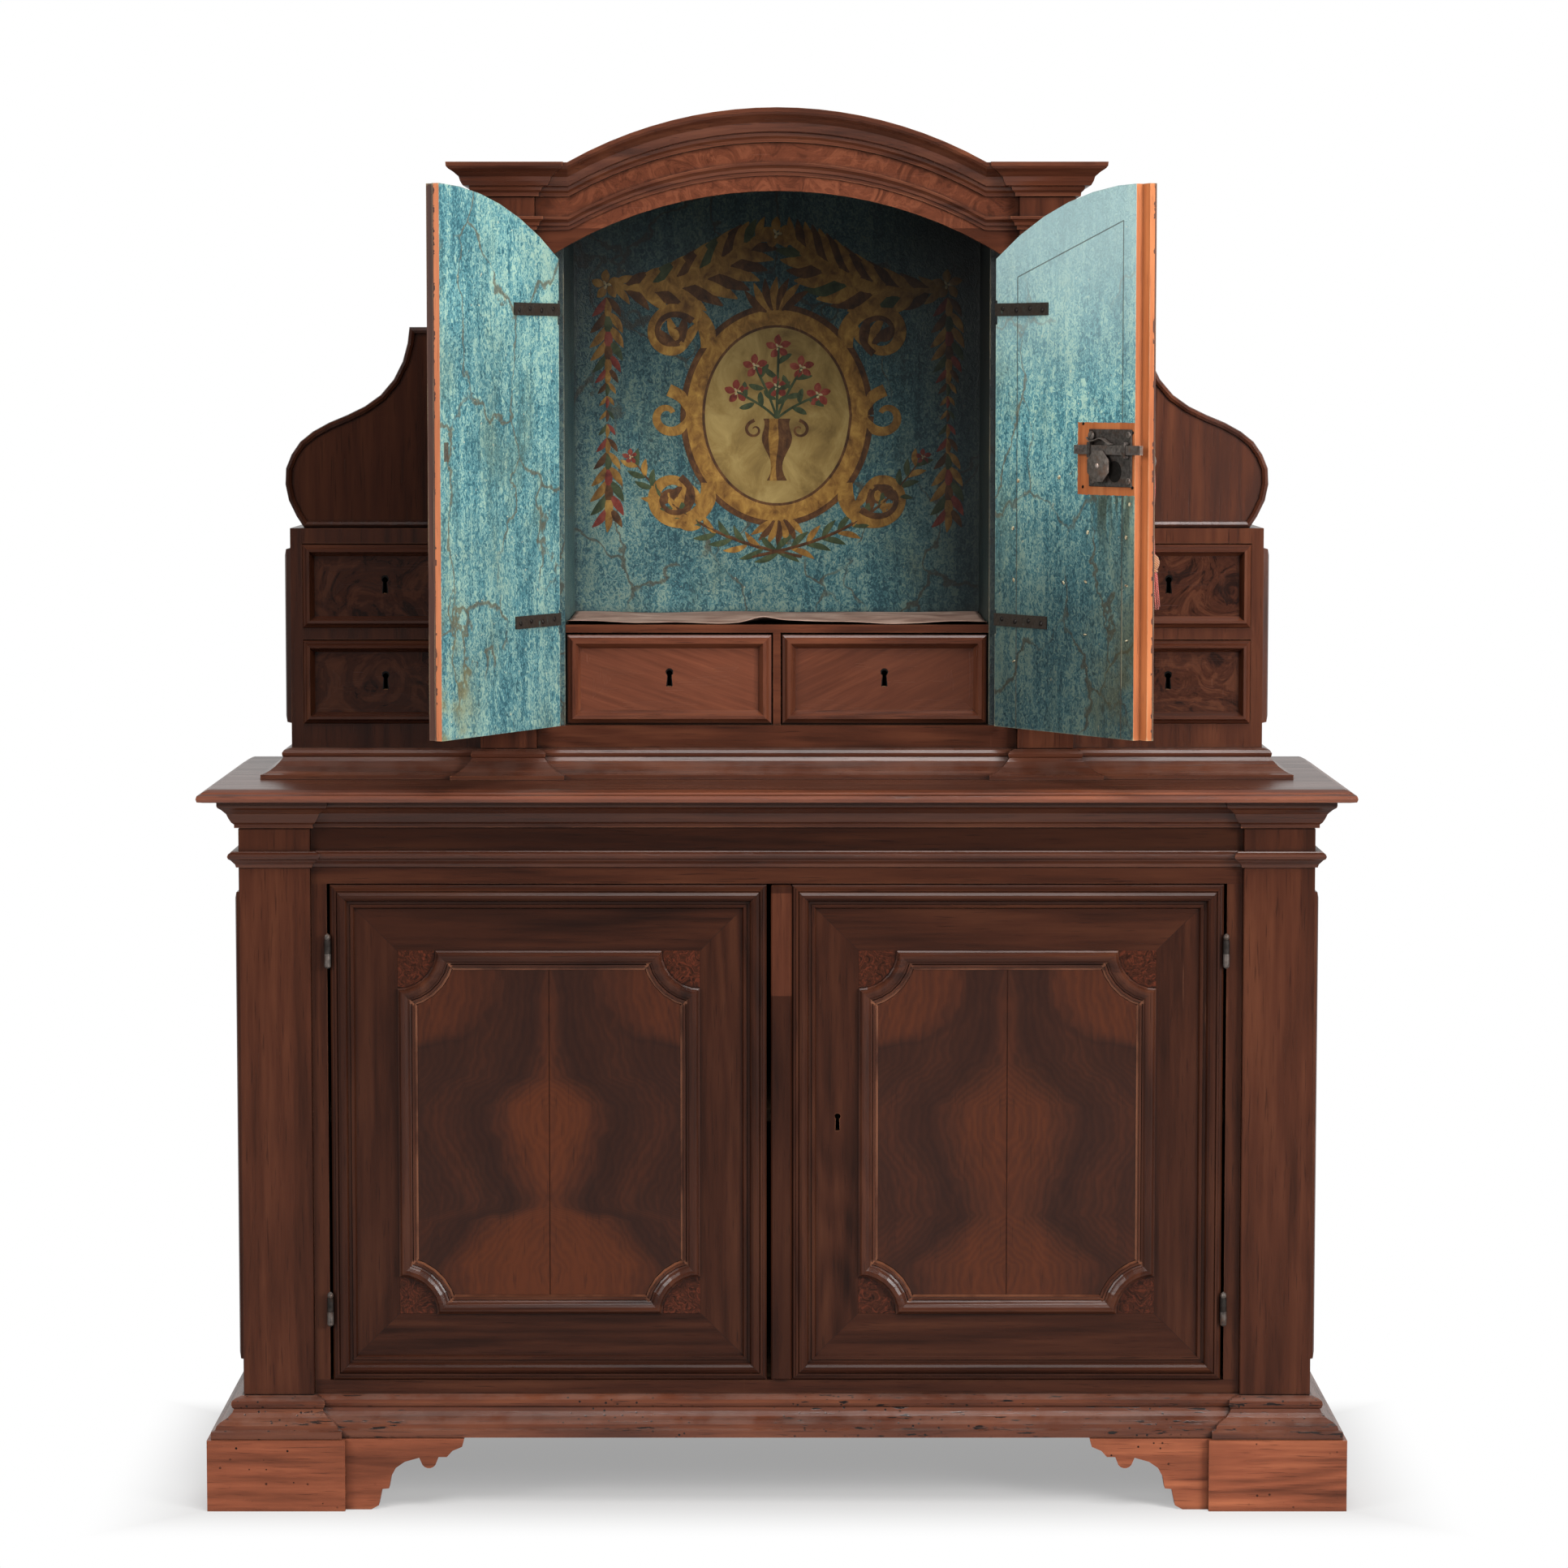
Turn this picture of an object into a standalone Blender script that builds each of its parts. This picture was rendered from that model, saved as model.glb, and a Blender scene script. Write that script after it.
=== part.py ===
"""Two-part credenza: a two-door lower stage with an arched tabernacle standing on its worktop.

Metres, +Z up, front towards -Y. Everything is drawn with the wall plane at y = 0 and moved at the end so
that the origin is the middle of the bounding box on the floor.
"""
import math

import bmesh
import bpy
from mathutils import Matrix, Vector

# Fits
GAP = 0.0003            # seat between pieces that touch
CLEAR = 0.0015          # running clearance of doors and drawers

# Lower stage
WORKTOP_D = 0.600
WORKTOP_T = 0.0190
LOWER_HALF_W = 0.775    # outside of the corner pilasters
OVERHANG = 0.054        # worktop nose beyond the pilasters
LOWER_BREAK = 0.012     # pilasters in front of the face frame
LOWER_PILASTER_W = 0.103
FOOT_H = 0.104
FOOT_W = 0.371          # front bracket along the front
FOOT_RETURN = 0.260     # front bracket along the side
FOOT_REAR = 0.215       # rear bracket along the side
FOOT_OUT = 0.0485       # bracket outside the pilaster
BASE_H = 0.056
CASE_H = 0.828          # pilaster height, base moulding to cornice
CORNICE_H = 0.040
FRIEZE_H = 0.057        # case top down to the astragal
BOARD = 0.020           # common board thickness
JAMB_W = 0.0226
LEAF_T = 0.024
TOP_RAIL = 0.0248       # astragal down to the door opening
LEAF_BOTTOM = 0.0200    # base moulding up to the door opening
LOWER_MEET = -0.0150    # edge of the left leaf
BATTEN_W = 0.030
PANEL_MARGIN_X = 0.0965
PANEL_MARGIN_Z = 0.096
NOTCH_R = 0.055
PANEL_MOULD_W = 0.028
SHELF_Z = 0.395         # above the base moulding
LOCK_X = 0.066          # lower keyhole from the meeting edge
LOCK_Z = 0.379          # and above the bottom of the leaf

# Upper stage
UPPER_SETBACK = 0.165   # plinth nose behind the worktop nose
PLINTH_H = 0.043
PLINTH_OUT = 0.042
UPPER_BREAK = 0.020
CASE_HALF_W = 0.7146
TAB_HALF_W = 0.4354
TAB_PILASTER_W = 0.0828
TAB_H = 0.8054          # plinth to the underside of the arched cornice, at the ends
ARCH_SHOULDER = 0.0486  # level moulding between the pilaster and the arch
ARCH_RISE = 0.079
DOOR_REVEAL = 0.0141    # door opening inside the pilasters
DOOR_Z0 = 0.0324        # bottom rail height
INTRADOS_R = 0.628
INTRADOS_LIFT = 0.0090  # crown of the opening above the ends of the cornice
DOOR_T = 0.024
DOOR_PROUD = 0.012      # door face in front of the recessed frame
OPEN_LEFT = 117.6       # as photographed
OPEN_RIGHT = 123.4
NICHE_REVEAL = 0.0265   # niche inside the door opening
NICHE_WALL_T = 0.015
INNER_DRAWER_H = 0.133
SHELF_T = 0.0116
SIDE_STILE_IN = 0.0196  # stiles beside the side drawers
SIDE_STILE_OUT = 0.0186
SIDE_DRAWER_H = 0.122
SIDE_BASE = 0.0360      # rails under, between and over the side drawers
SIDE_RAIL = 0.0190
SIDE_TOP = 0.0240
WING_H = 0.2935

# Hinges, lock, key
PIN_R = 0.0023
PIN_PLAY = 0.0004
EYE_WALL = 0.0019
STRAP_L = 0.128
STRAP_H = 0.018
STRAP_T = 0.0022
STRAP_LOW = 0.182       # lower strap above the plinth
STRAP_DROP = 0.0834     # upper strap below the shoulder of the door
KEY_X = 0.0925          # key from the free edge of the right door
KEY_Z = 0.424           # key above the plinth
KEY_OUT = 0.072         # bow in front of the door face
TASSEL_L = 0.205

# Derived levels
Z_BASE = FOOT_H + BASE_H
Z_CORNICE = Z_BASE + CASE_H
Z_TOP = Z_CORNICE + CORNICE_H + WORKTOP_T
Z_PLINTH = Z_TOP + PLINTH_H
Z_ARCH = Z_PLINTH + TAB_H
WORKTOP_HALF_W = LOWER_HALF_W + OVERHANG
ASTRAGAL_Z = CASE_H - FRIEZE_H
Y_PIL = -(WORKTOP_D - OVERHANG)
Y_FRAME = Y_PIL + LOWER_BREAK
Y_UPIL = -(WORKTOP_D - UPPER_SETBACK - PLINTH_OUT)
Y_UFRAME = Y_UPIL + UPPER_BREAK
Y_DOOR = Y_UFRAME - DOOR_PROUD
X_LPIL = LOWER_HALF_W - LOWER_PILASTER_W
X_TPIL = TAB_HALF_W - TAB_PILASTER_W
X_JAMB = X_LPIL - JAMB_W
ARCH_SPAN = X_TPIL - ARCH_SHOULDER
DOOR_HALF_W = X_TPIL - DOOR_REVEAL
NICHE_HALF_W = DOOR_HALF_W - NICHE_REVEAL
INTRADOS_APEX = TAB_H + INTRADOS_LIFT
LEAF_Z0 = Z_BASE + LEAF_BOTTOM + CLEAR
OPENING_TOP = Z_BASE + ASTRAGAL_Z - TOP_RAIL
LEAF_Z1 = OPENING_TOP - CLEAR
Y_LHINGE = Y_FRAME - 0.0095
X_LHINGE = X_JAMB - 0.0015
X_UHINGE = DOOR_HALF_W - 0.0005
EYE_HOLE_R = PIN_R + PIN_PLAY
EYE_R = EYE_HOLE_R + EYE_WALL
DOOR_EDGE = 0.0016      # door edge from its hinge axis
MEET_LEFT_OUT = 0.0118  # lapped meeting edges of the upper doors, outer and inner half
MEET_LEFT_IN = 0.0070
MEET_RIGHT_OUT = -0.0100
MEET_RIGHT_IN = 0.0055
SIDE_Z0 = Z_PLINTH + SIDE_BASE
SIDE_CASE_H = SIDE_BASE + 2 * SIDE_DRAWER_H + SIDE_RAIL + SIDE_TOP
SIDE_DRAWER_W = CASE_HALF_W - TAB_HALF_W - SIDE_STILE_IN - SIDE_STILE_OUT
SIDE_DRAWER_X = TAB_HALF_W + SIDE_STILE_IN + SIDE_DRAWER_W / 2
INNER_Z0 = Z_PLINTH + DOOR_Z0
SHELF_Z0 = INNER_Z0 + INNER_DRAWER_H + 2 * CLEAR


def clear_scene():
    for item in list(bpy.data.objects):
        bpy.data.objects.remove(item, do_unlink=True)


def material(name, colour, rough=0.5, metal=0.0):
    mat = bpy.data.materials.new(name)
    mat.use_nodes = True
    shader = mat.node_tree.nodes["Principled BSDF"]
    shader.inputs["Base Color"].default_value = (*colour, 1.0)
    shader.inputs["Roughness"].default_value = rough
    shader.inputs["Metallic"].default_value = metal
    return mat


def to_object(name, bm, mat, origin=(0, 0, 0), turn=None):
    """Finish a mesh given in wall-frame coordinates; turn is a matrix put on it first."""
    bmesh.ops.remove_doubles(bm, verts=bm.verts, dist=0.00001)
    bmesh.ops.recalc_face_normals(bm, faces=bm.faces)
    if bm.calc_volume(signed=True) < 0:
        bmesh.ops.reverse_faces(bm, faces=bm.faces)
    if turn is not None:
        bmesh.ops.transform(bm, matrix=turn, verts=bm.verts)
    bmesh.ops.translate(bm, vec=-Vector(origin), verts=bm.verts)
    mesh = bpy.data.meshes.new(name)
    bm.to_mesh(mesh)
    bm.free()
    mesh.materials.append(mat)
    obj = bpy.data.objects.new(name, mesh)
    obj.location = origin
    bpy.context.collection.objects.link(obj)
    return obj


def skin(rings, loop=False):
    """Join rings of equal length with quads, and close the ends with caps."""
    bm = bmesh.new()
    rows = [[bm.verts.new(p) for p in ring] for ring in rings]
    count = len(rows[0])
    pairs = list(zip(rows, rows[1:]))
    if loop:
        pairs.append((rows[-1], rows[0]))
    for a, b in pairs:
        for i in range(count):
            j = (i + 1) % count
            bm.faces.new((a[i], a[j], b[j], b[i]))
    if not loop:
        bm.faces.new(rows[0])
        bm.faces.new(rows[-1])
    return bm


def mitre(path, i, closed):
    """Unit-offset vector at one vertex of a plan path; outside is on the right of travel."""
    n = len(path)
    prev = path[(i - 1) % n] if closed or i > 0 else None
    nxt = path[(i + 1) % n] if closed or i < n - 1 else None
    here = Vector(path[i][:2])
    normals = []
    if prev is not None:
        d = (here - Vector(prev[:2])).normalized()
        normals.append(Vector((d.y, -d.x)))
    if nxt is not None:
        d = (Vector(nxt[:2]) - here).normalized()
        normals.append(Vector((d.y, -d.x)))
    if len(normals) == 1:
        return normals[0]
    return (normals[0] + normals[1]) / (1.0 + normals[0].dot(normals[1]))


def sweep(path, profile, place, closed=False):
    """Run a closed profile of (out, height) along a path."""
    rings = []
    for i, point in enumerate(path):
        m = mitre(path, i, closed)
        rings.append([place(point[0] + m.x * p, point[1] + m.y * p, h, i) for p, h in profile])
    return skin(rings, closed)


def stack(outline, levels, place):
    """Offset copies of a closed outline at rising levels: (out, height) pairs."""
    rings = []
    for out, h in levels:
        ring = []
        for i, point in enumerate(outline):
            m = mitre(outline, i, True)
            ring.append(place(point[0] + m.x * out, point[1] + m.y * out, h, i))
        rings.append(ring)
    return skin(rings)


def raised_board(board, panel, x0, x1):
    """Upright board from x0 to x1 with a moulded panel standing on its outer face."""
    rings = [[on_side(u, v, h) for u, v in line] for line, h in ((board, x0), (board, x1), (panel, x1))]
    offset = [mitre(panel, i, True) for i in range(4)]
    for inset, h in ((0.002, 0.010), (0.011, 0.0125), (0.020, 0.010), (0.026, 0.003)):
        rings.append([on_side(u - m.x * inset, v - m.y * inset, x1 + h) for (u, v), m in zip(panel, offset)])
    return skin(rings)


def flip(bm, side):
    """Mirror a piece drawn for the right-hand side."""
    if side < 0:
        bmesh.ops.scale(bm, vec=(-1, 1, 1), verts=bm.verts)
    return bm


def on_plan(u, v, h, i=0):
    return Vector((u, v, h))


def on_front(u, v, h, i=0):
    return Vector((u, h, v))


def on_side(u, v, h, i=0):
    return Vector((h, u, v))


def rect(a0, a1, b0, b1):
    """Counter-clockwise corners, so that offsets go outwards."""
    return [(a0, b0), (a1, b0), (a1, b1), (a0, b1)]


def box(x0, x1, y0, y1, z0, z1, bevel=0.0):
    bm = bmesh.new()
    bmesh.ops.create_cube(bm, size=1.0)
    bmesh.ops.scale(bm, vec=(x1 - x0, y1 - y0, z1 - z0), verts=bm.verts)
    bmesh.ops.translate(bm, vec=((x0 + x1) / 2, (y0 + y1) / 2, (z0 + z1) / 2), verts=bm.verts)
    if bevel:
        bmesh.ops.bevel(bm, geom=bm.edges, offset=bevel, segments=1, affect="EDGES")
    return bm


def cylinder(radius, length, place, sides=16):
    """Round bar; place is the matrix that carries it from the z axis."""
    bm = bmesh.new()
    bmesh.ops.create_cone(bm, cap_ends=True, segments=sides, radius1=radius, radius2=radius, depth=length)
    bmesh.ops.transform(bm, matrix=place, verts=bm.verts)
    return bm


def lathe(profile, centre, sides=14):
    """Turn a profile of (radius, z) about a vertical axis."""
    rings = []
    for r, z in profile:
        ring = []
        for k in range(sides):
            a = 2 * math.pi * k / sides
            ring.append(Vector((centre[0] + r * math.cos(a), centre[1] + r * math.sin(a), centre[2] + z)))
        rings.append(ring)
    return skin(rings)


def prism(outline, place, h0, h1):
    return stack(outline, [(0, h0), (0, h1)], place)


def combine(obj, bm, operation):
    """Boolean a loose mesh into an object given in wall-frame coordinates."""
    tool = to_object("cutter", bm, obj.data.materials[0])
    tool.hide_render = True
    tool.display_type = "WIRE"
    mod = obj.modifiers.new("join", "BOOLEAN")
    mod.operation = operation
    mod.solver = "EXACT"
    mod.object = tool
    graph = bpy.context.evaluated_depsgraph_get()
    mesh = bpy.data.meshes.new_from_object(obj.evaluated_get(graph))
    obj.modifiers.clear()
    obj.data = mesh
    bpy.data.objects.remove(tool, do_unlink=True)
    return obj


def mirrored(points):
    return [(-p[0], *p[1:]) for p in reversed(points)]


def arc(cx, cy, r, a0, a1, steps):
    out = []
    for k in range(steps + 1):
        a = math.radians(a0 + (a1 - a0) * k / steps)
        out.append((cx + r * math.cos(a), cy + r * math.sin(a)))
    return out


def fitted(profile, z0, z1):
    """Stretch a moulding profile between two levels."""
    low = min(h for p, h in profile)
    f = (z1 - z0) / (max(h for p, h in profile) - low)
    return [(p, z0 + (h - low) * f) for p, h in profile]


def front_path(half_w, y_front, x_break, y_recess, stations=()):
    """Plan path of a moulding round the front: side, pilaster, recess, pilaster, side."""
    left = [(-half_w, -GAP), (-half_w, y_front), (-x_break, y_front), (-x_break, y_recess)]
    return left + [(x, y_recess) for x in stations] + mirrored(left)


def arch_dz(x):
    """Height of the arched mouldings above their ends."""
    radius = (ARCH_SPAN ** 2 + ARCH_RISE ** 2) / (2 * ARCH_RISE)
    if abs(x) >= ARCH_SPAN:
        return 0.0
    return math.sqrt(radius ** 2 - x ** 2) - math.sqrt(radius ** 2 - ARCH_SPAN ** 2)


def arch_stations(span, steps=20):
    return [-span + 2 * span * k / steps for k in range(steps + 1)]


def intrados(x, drop=0.0):
    return Z_PLINTH + INTRADOS_APEX - INTRADOS_R + math.sqrt((INTRADOS_R - drop) ** 2 - x * x)


def keyhole(x, z, size=1.0):
    """Outline of a keyhole: a round eye over a flared slot."""
    r = 0.0042 * size
    eye = arc(x, z + 0.006 * size, r, -55, 235, 10)
    return eye + [(x - 0.0030 * size, z - 0.014 * size), (x + 0.0030 * size, z - 0.014 * size)]


# Lower stage
def lower_case(wood, dark):
    path = front_path(LOWER_HALF_W, Y_PIL, X_LPIL, Y_FRAME)
    nose = WORKTOP_T
    top_outline = rect(-WORKTOP_HALF_W, WORKTOP_HALF_W, -WORKTOP_D, -GAP)
    rings = []
    for inset, h in ((0.010, 0.0), (0.0015, 0.0015), (0, 0.006), (0.0015, 0.0105), (0.006, 0.0125),
                     (0.0085, 0.0150), (0.0150, 0.0182), (0.0185, 0.0190)):
        x = WORKTOP_HALF_W - inset
        z = Z_TOP - nose + h * nose / 0.0190
        rings.append([Vector(p) for p in ((-x, -WORKTOP_D + inset, z), (x, -WORKTOP_D + inset, z),
                                          (x, top_outline[2][1], z), (-x, top_outline[2][1], z))])
    to_object("worktop", skin(rings), wood)
    cornice = [(-0.020, 0), (0.005, 0), (0.005, 0.005), (0.0085, 0.008), (0.012, 0.014), (0.015, 0.021),
               (0.0215, 0.0275), (0.0265, 0.031), (0.0275, 0.0335), (0.0275, 0.0394), (-0.020, 0.0394)]
    cornice = fitted(cornice, Z_CORNICE + GAP, Z_TOP - WORKTOP_T - GAP)
    to_object("lower_cornice", sweep(path, cornice, on_plan), wood)
    za = Z_BASE + ASTRAGAL_Z
    bead = [(0.0145 - 0.0055 * (1 - math.cos(a)), za + 0.0165 + 0.0055 * math.sin(a)) for a in
            [math.radians(d) for d in (-80, -40, 0, 40, 80)]]
    astragal = [(GAP, za), (0.003, za), (0.0042, za + 0.0045), (0.0085, za + 0.0092)] + bead
    astragal += [(0.009, za + 0.0236), (GAP, za + 0.0236)]
    to_object("lower_astragal", sweep(path, astragal, on_plan), wood)
    base = [(-0.030, 0), (0.0430, 0), (0.0430, 0.0105), (0.0375, 0.0125), (0.0355, 0.018), (0.0300, 0.0225),
            (0.0210, 0.0270), (0.0150, 0.0330), (0.0128, 0.0385), (0.0150, 0.0405), (0.0165, 0.0450),
            (0.0155, 0.0500), (0.0105, 0.0535), (0.0030, 0.0557), (-0.030, 0.0557)]
    base = fitted(base, FOOT_H + GAP, Z_BASE)
    to_object("base_moulding", sweep(path, base, on_plan), dark)
    z0 = Z_BASE + GAP
    z1 = Z_CORNICE - GAP
    for side, name in ((-1, "left"), (1, "right")):
        xs = sorted((side * (X_LPIL + GAP), side * (LOWER_HALF_W - GAP)))
        to_object("lower_pilaster_" + name, box(*xs, Y_PIL, Y_PIL + 0.024, z0, z1, 0.0012), wood)
        outer = LOWER_HALF_W - GAP
        y0, y1 = Y_PIL + 0.024 + GAP, -GAP
        panel = rect(y0 + 0.030, y1 - 0.070, z0 + 0.040, Z_BASE + ASTRAGAL_Z - 0.040)
        bm = raised_board(rect(y0, y1, z0, z1), panel, outer - BOARD, outer)
        to_object("lower_side_" + name, flip(bm, side), wood)
    inner = LOWER_HALF_W - BOARD - 2 * GAP
    z_under = Z_TOP - WORKTOP_T - GAP
    to_object("lower_back", box(-inner, inner, -BOARD, -GAP, z0, z_under), dark)
    back = -BOARD - GAP
    y_in = Y_FRAME + 0.022 + GAP
    to_object("bottom_board", box(-inner, inner, y_in, back, z0, Z_BASE + 0.0195), dark)
    zs = Z_BASE + SHELF_Z
    to_object("lower_shelf", box(-inner, inner, y_in + 0.012, back, zs, zs + 0.018), dark)
    outer = rect(-X_LPIL + GAP, X_LPIL - GAP, z0, z1)
    hole = rect(-X_JAMB, X_JAMB, Z_BASE + LEAF_BOTTOM, OPENING_TOP)
    frame = to_object("lower_face_frame", ring_board(outer, hole, Y_FRAME, Y_FRAME + 0.022), wood)
    for side in (-1, 1):
        for z in lower_hinge_levels():
            for bm in hinge_pin(side, z):
                combine(frame, bm, "UNION")
    feet(dark)


def ring_board(outer, inner, y0, y1):
    """A flat board with one opening; both outlines have the same number of corners."""
    bm = bmesh.new()
    loops = [[bm.verts.new((x, y, z)) for x, z in line] for y in (y0, y1) for line in (outer, inner)]
    n = len(outer)
    for i in range(n):
        j = (i + 1) % n
        for a, b in ((loops[0], loops[1]), (loops[2], loops[3]), (loops[0], loops[2]), (loops[1], loops[3])):
            bm.faces.new((a[i], a[j], b[j], b[i]))
    return bm


def foot_profile(length, height):
    """Half of a bracket foot seen from the front: corner at 0, free end at length."""
    f = length / 0.371
    g = height / 0.1037
    points = [(0, 0), (0.236 * f, 0), (0.247 * f, 0.006 * g), (0.252 * f, 0.030 * g), (0.262 * f, 0.031 * g),
              (0.265 * f, 0.048 * g), (0.272 * f, 0.061 * g), (0.285 * f, 0.070 * g), (0.306 * f, 0.076 * g)]
    lobe = arc(0.320 * f, 0.072 * g, 0.0115 * f, 215, 325, 5)
    tail = [(0.334 * f, 0.077 * g), (0.346 * f, 0.077 * g), (0.354 * f, 0.086 * g), (0.368 * f, 0.092 * g),
            (length, height)]
    return points + lobe + tail + [(0, height)]


def feet(wood):
    out = LOWER_HALF_W + FOOT_OUT
    y_block = Y_PIL - FOOT_OUT
    top = FOOT_H - GAP
    block_w = 0.1995
    for side, name in ((-1, "left"), (1, "right")):
        front = [(side * (out - u), v) for u, v in foot_profile(FOOT_W, top)]
        board = prism(front, on_front, y_block + LOWER_BREAK, y_block + 0.034)
        foot = to_object("foot_front_" + name, board, wood)
        xs = sorted((side * out, side * (out - block_w)))
        combine(foot, box(*xs, y_block, y_block + 0.030, 0, top), "UNION")
        ret = [(y_block + u, v) for u, v in foot_profile(FOOT_RETURN, top)]
        xs = sorted((side * out, side * (out - 0.022)))
        combine(foot, prism(ret, on_side, *xs), "UNION")
        xs = sorted((side * (out - 0.012), side * (out - 0.085)))
        combine(foot, box(*xs, y_block + 0.016, y_block + 0.095, 0, top), "UNION")
        rear = [(-GAP - u, v) for u, v in foot_profile(FOOT_REAR, top)]
        xs = sorted((side * out, side * (out - 0.022)))
        foot = to_object("foot_rear_" + name, prism(rear, on_side, *xs), wood)
        xs = sorted((side * (out - 0.012), side * (out - 0.110)))
        combine(foot, box(*xs, -0.080, -GAP, 0, top), "UNION")


def lower_hinge_levels():
    return (LEAF_Z0 + 0.082, LEAF_Z1 - 0.118)


def hinge_pin(side, z):
    """Frame half of a lower hinge: lower knuckle, pin with a finial, and a leaf let into the jamb."""
    centre = (side * X_LHINGE, Y_LHINGE, z)
    turned = [(0.0008, -0.003), (0.0032, -0.0015), (EYE_R, 0.0), (EYE_R, 0.0185), (PIN_R, 0.0185),
              (PIN_R, 0.0395), (0.0036, 0.0395), (0.0044, 0.0425), (0.0036, 0.0460), (0.0010, 0.0480)]
    xs = sorted((side * (X_LHINGE + 0.0010), side * (X_JAMB + 0.0030)))
    yield lathe(turned, centre)
    yield box(*xs, Y_LHINGE - 0.001, Y_FRAME + 0.006, z + 0.001, z + 0.0175)


def hinge_eye(side, z):
    """Door half: an eye rolled round the pin, with its leaf in the gap along the door edge."""
    ring = arc(0, 0, EYE_R, 110, 400, 14)
    hole = list(reversed(arc(0, 0, EYE_HOLE_R, 110, 400, 14)))
    leaf_x = X_LHINGE - (X_JAMB - CLEAR - 0.0035)
    reach = Y_FRAME + 0.020 - Y_LHINGE
    outline = ring[:-1] + [(leaf_x - GAP, 0.0022), (leaf_x - GAP, reach), (leaf_x - GAP - 0.0012, reach),
                           (leaf_x - GAP - 0.0012, 0.0036)] + hole[1:]
    points = [(side * (X_LHINGE - u), Y_LHINGE + v) for u, v in outline]
    return prism(points, on_plan, z + 0.0189, z + 0.0389)


def lower_doors(wood, iron, dark):
    zs = (LEAF_Z0, LEAF_Z1)
    edge = X_JAMB - CLEAR - 0.0035
    spans = (("left", -edge, LOWER_MEET), ("right", LOWER_MEET + 0.0065 + BATTEN_W + GAP, edge))
    for name, x0, x1 in spans:
        side = -1 if name == "left" else 1
        origin = (side * X_LHINGE, Y_LHINGE, 0)
        y = Y_FRAME
        levels = [(0, y + LEAF_T), (0, y - 0.0030), (-0.0025, y - 0.0050), (-0.0052, y - 0.0058),
                  (-0.0060, y - 0.0076), (-0.0090, y - 0.0080), (-0.0097, y - 0.0068), (-0.0110, y - 0.0092),
                  (-0.0148, y - 0.0115), (-0.0190, y - 0.0108), (-0.0222, y - 0.0080), (-0.0238, y - 0.0045),
                  (-0.0243, y - 0.0008), (-0.0284, y - 0.0004), (-0.0290, y - 0.0024), (-0.0330, y - 0.0024),
                  (-0.0338, y - 0.0008), (-0.0352, y + 0.0030)]
        leaf = to_object("lower_door_" + name, stack(rect(x0, x1, *zs), levels, on_front), wood)
        if side > 0:
            hole = keyhole(x0 + LOCK_X, LEAF_Z0 + LOCK_Z, 1.05)
            combine(leaf, prism(hole, on_front, y - 0.02, y + LEAF_T + 0.01), "DIFFERENCE")
        rebase(leaf, origin)
        px0, px1 = x0 + PANEL_MARGIN_X, x1 - PANEL_MARGIN_X
        pz0, pz1 = zs[0] + PANEL_MARGIN_Z, zs[1] - PANEL_MARGIN_Z
        path = notched(px0, px1, pz0, pz1, NOTCH_R)
        f = y + 0.0030 - GAP
        w = PANEL_MOULD_W / 0.028
        profile = [(0, f), (0, f - 0.0040), (-0.0022 * w, f - 0.0056), (-0.0028 * w, f - 0.0088),
                   (-0.0048 * w, f - 0.0108), (-0.0072 * w, f - 0.0112), (-0.0105 * w, f - 0.0104),
                   (-0.0145 * w, f - 0.0082), (-0.0165 * w, f - 0.0066), (-0.0172 * w, f - 0.0052),
                   (-0.0198 * w, f - 0.0036), (-0.0204 * w, f - 0.0026), (-0.0208 * w, f - 0.0046),
                   (-0.0238 * w, f - 0.0044), (-0.0244 * w, f - 0.0020), (-PANEL_MOULD_W, f - 0.0014),
                   (-PANEL_MOULD_W, f)]
        to_object("lower_panel_moulding_" + name, sweep(path, profile, on_front, True), wood, origin)
        for z, level in zip(lower_hinge_levels(), ("low", "high")):
            to_object("lower_hinge_%s_%s" % (name, level), hinge_eye(side, z), iron, origin)
    x0 = LOWER_MEET + 0.0065
    batten = box(x0, x0 + BATTEN_W, Y_FRAME - 0.0085, Y_FRAME + LEAF_T, *zs, 0.0020)
    to_object("meeting_batten", batten, dark, (X_LHINGE, Y_LHINGE, 0))


def notched(x0, x1, z0, z1, r):
    """Rectangle with a concave scoop at each corner, counter-clockwise."""
    steps = 7
    points = arc(x0, z0, r, 90, 0, steps)
    points += arc(x1, z0, r, 180, 90, steps)
    points += arc(x1, z1, r, 270, 180, steps)
    points += arc(x0, z1, r, 360, 270, steps)
    return points


def rebase(obj, origin):
    """Put the origin of a finished piece on its joint axis."""
    obj.data.transform(Matrix.Translation(-Vector(origin)))
    obj.location = origin


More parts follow.
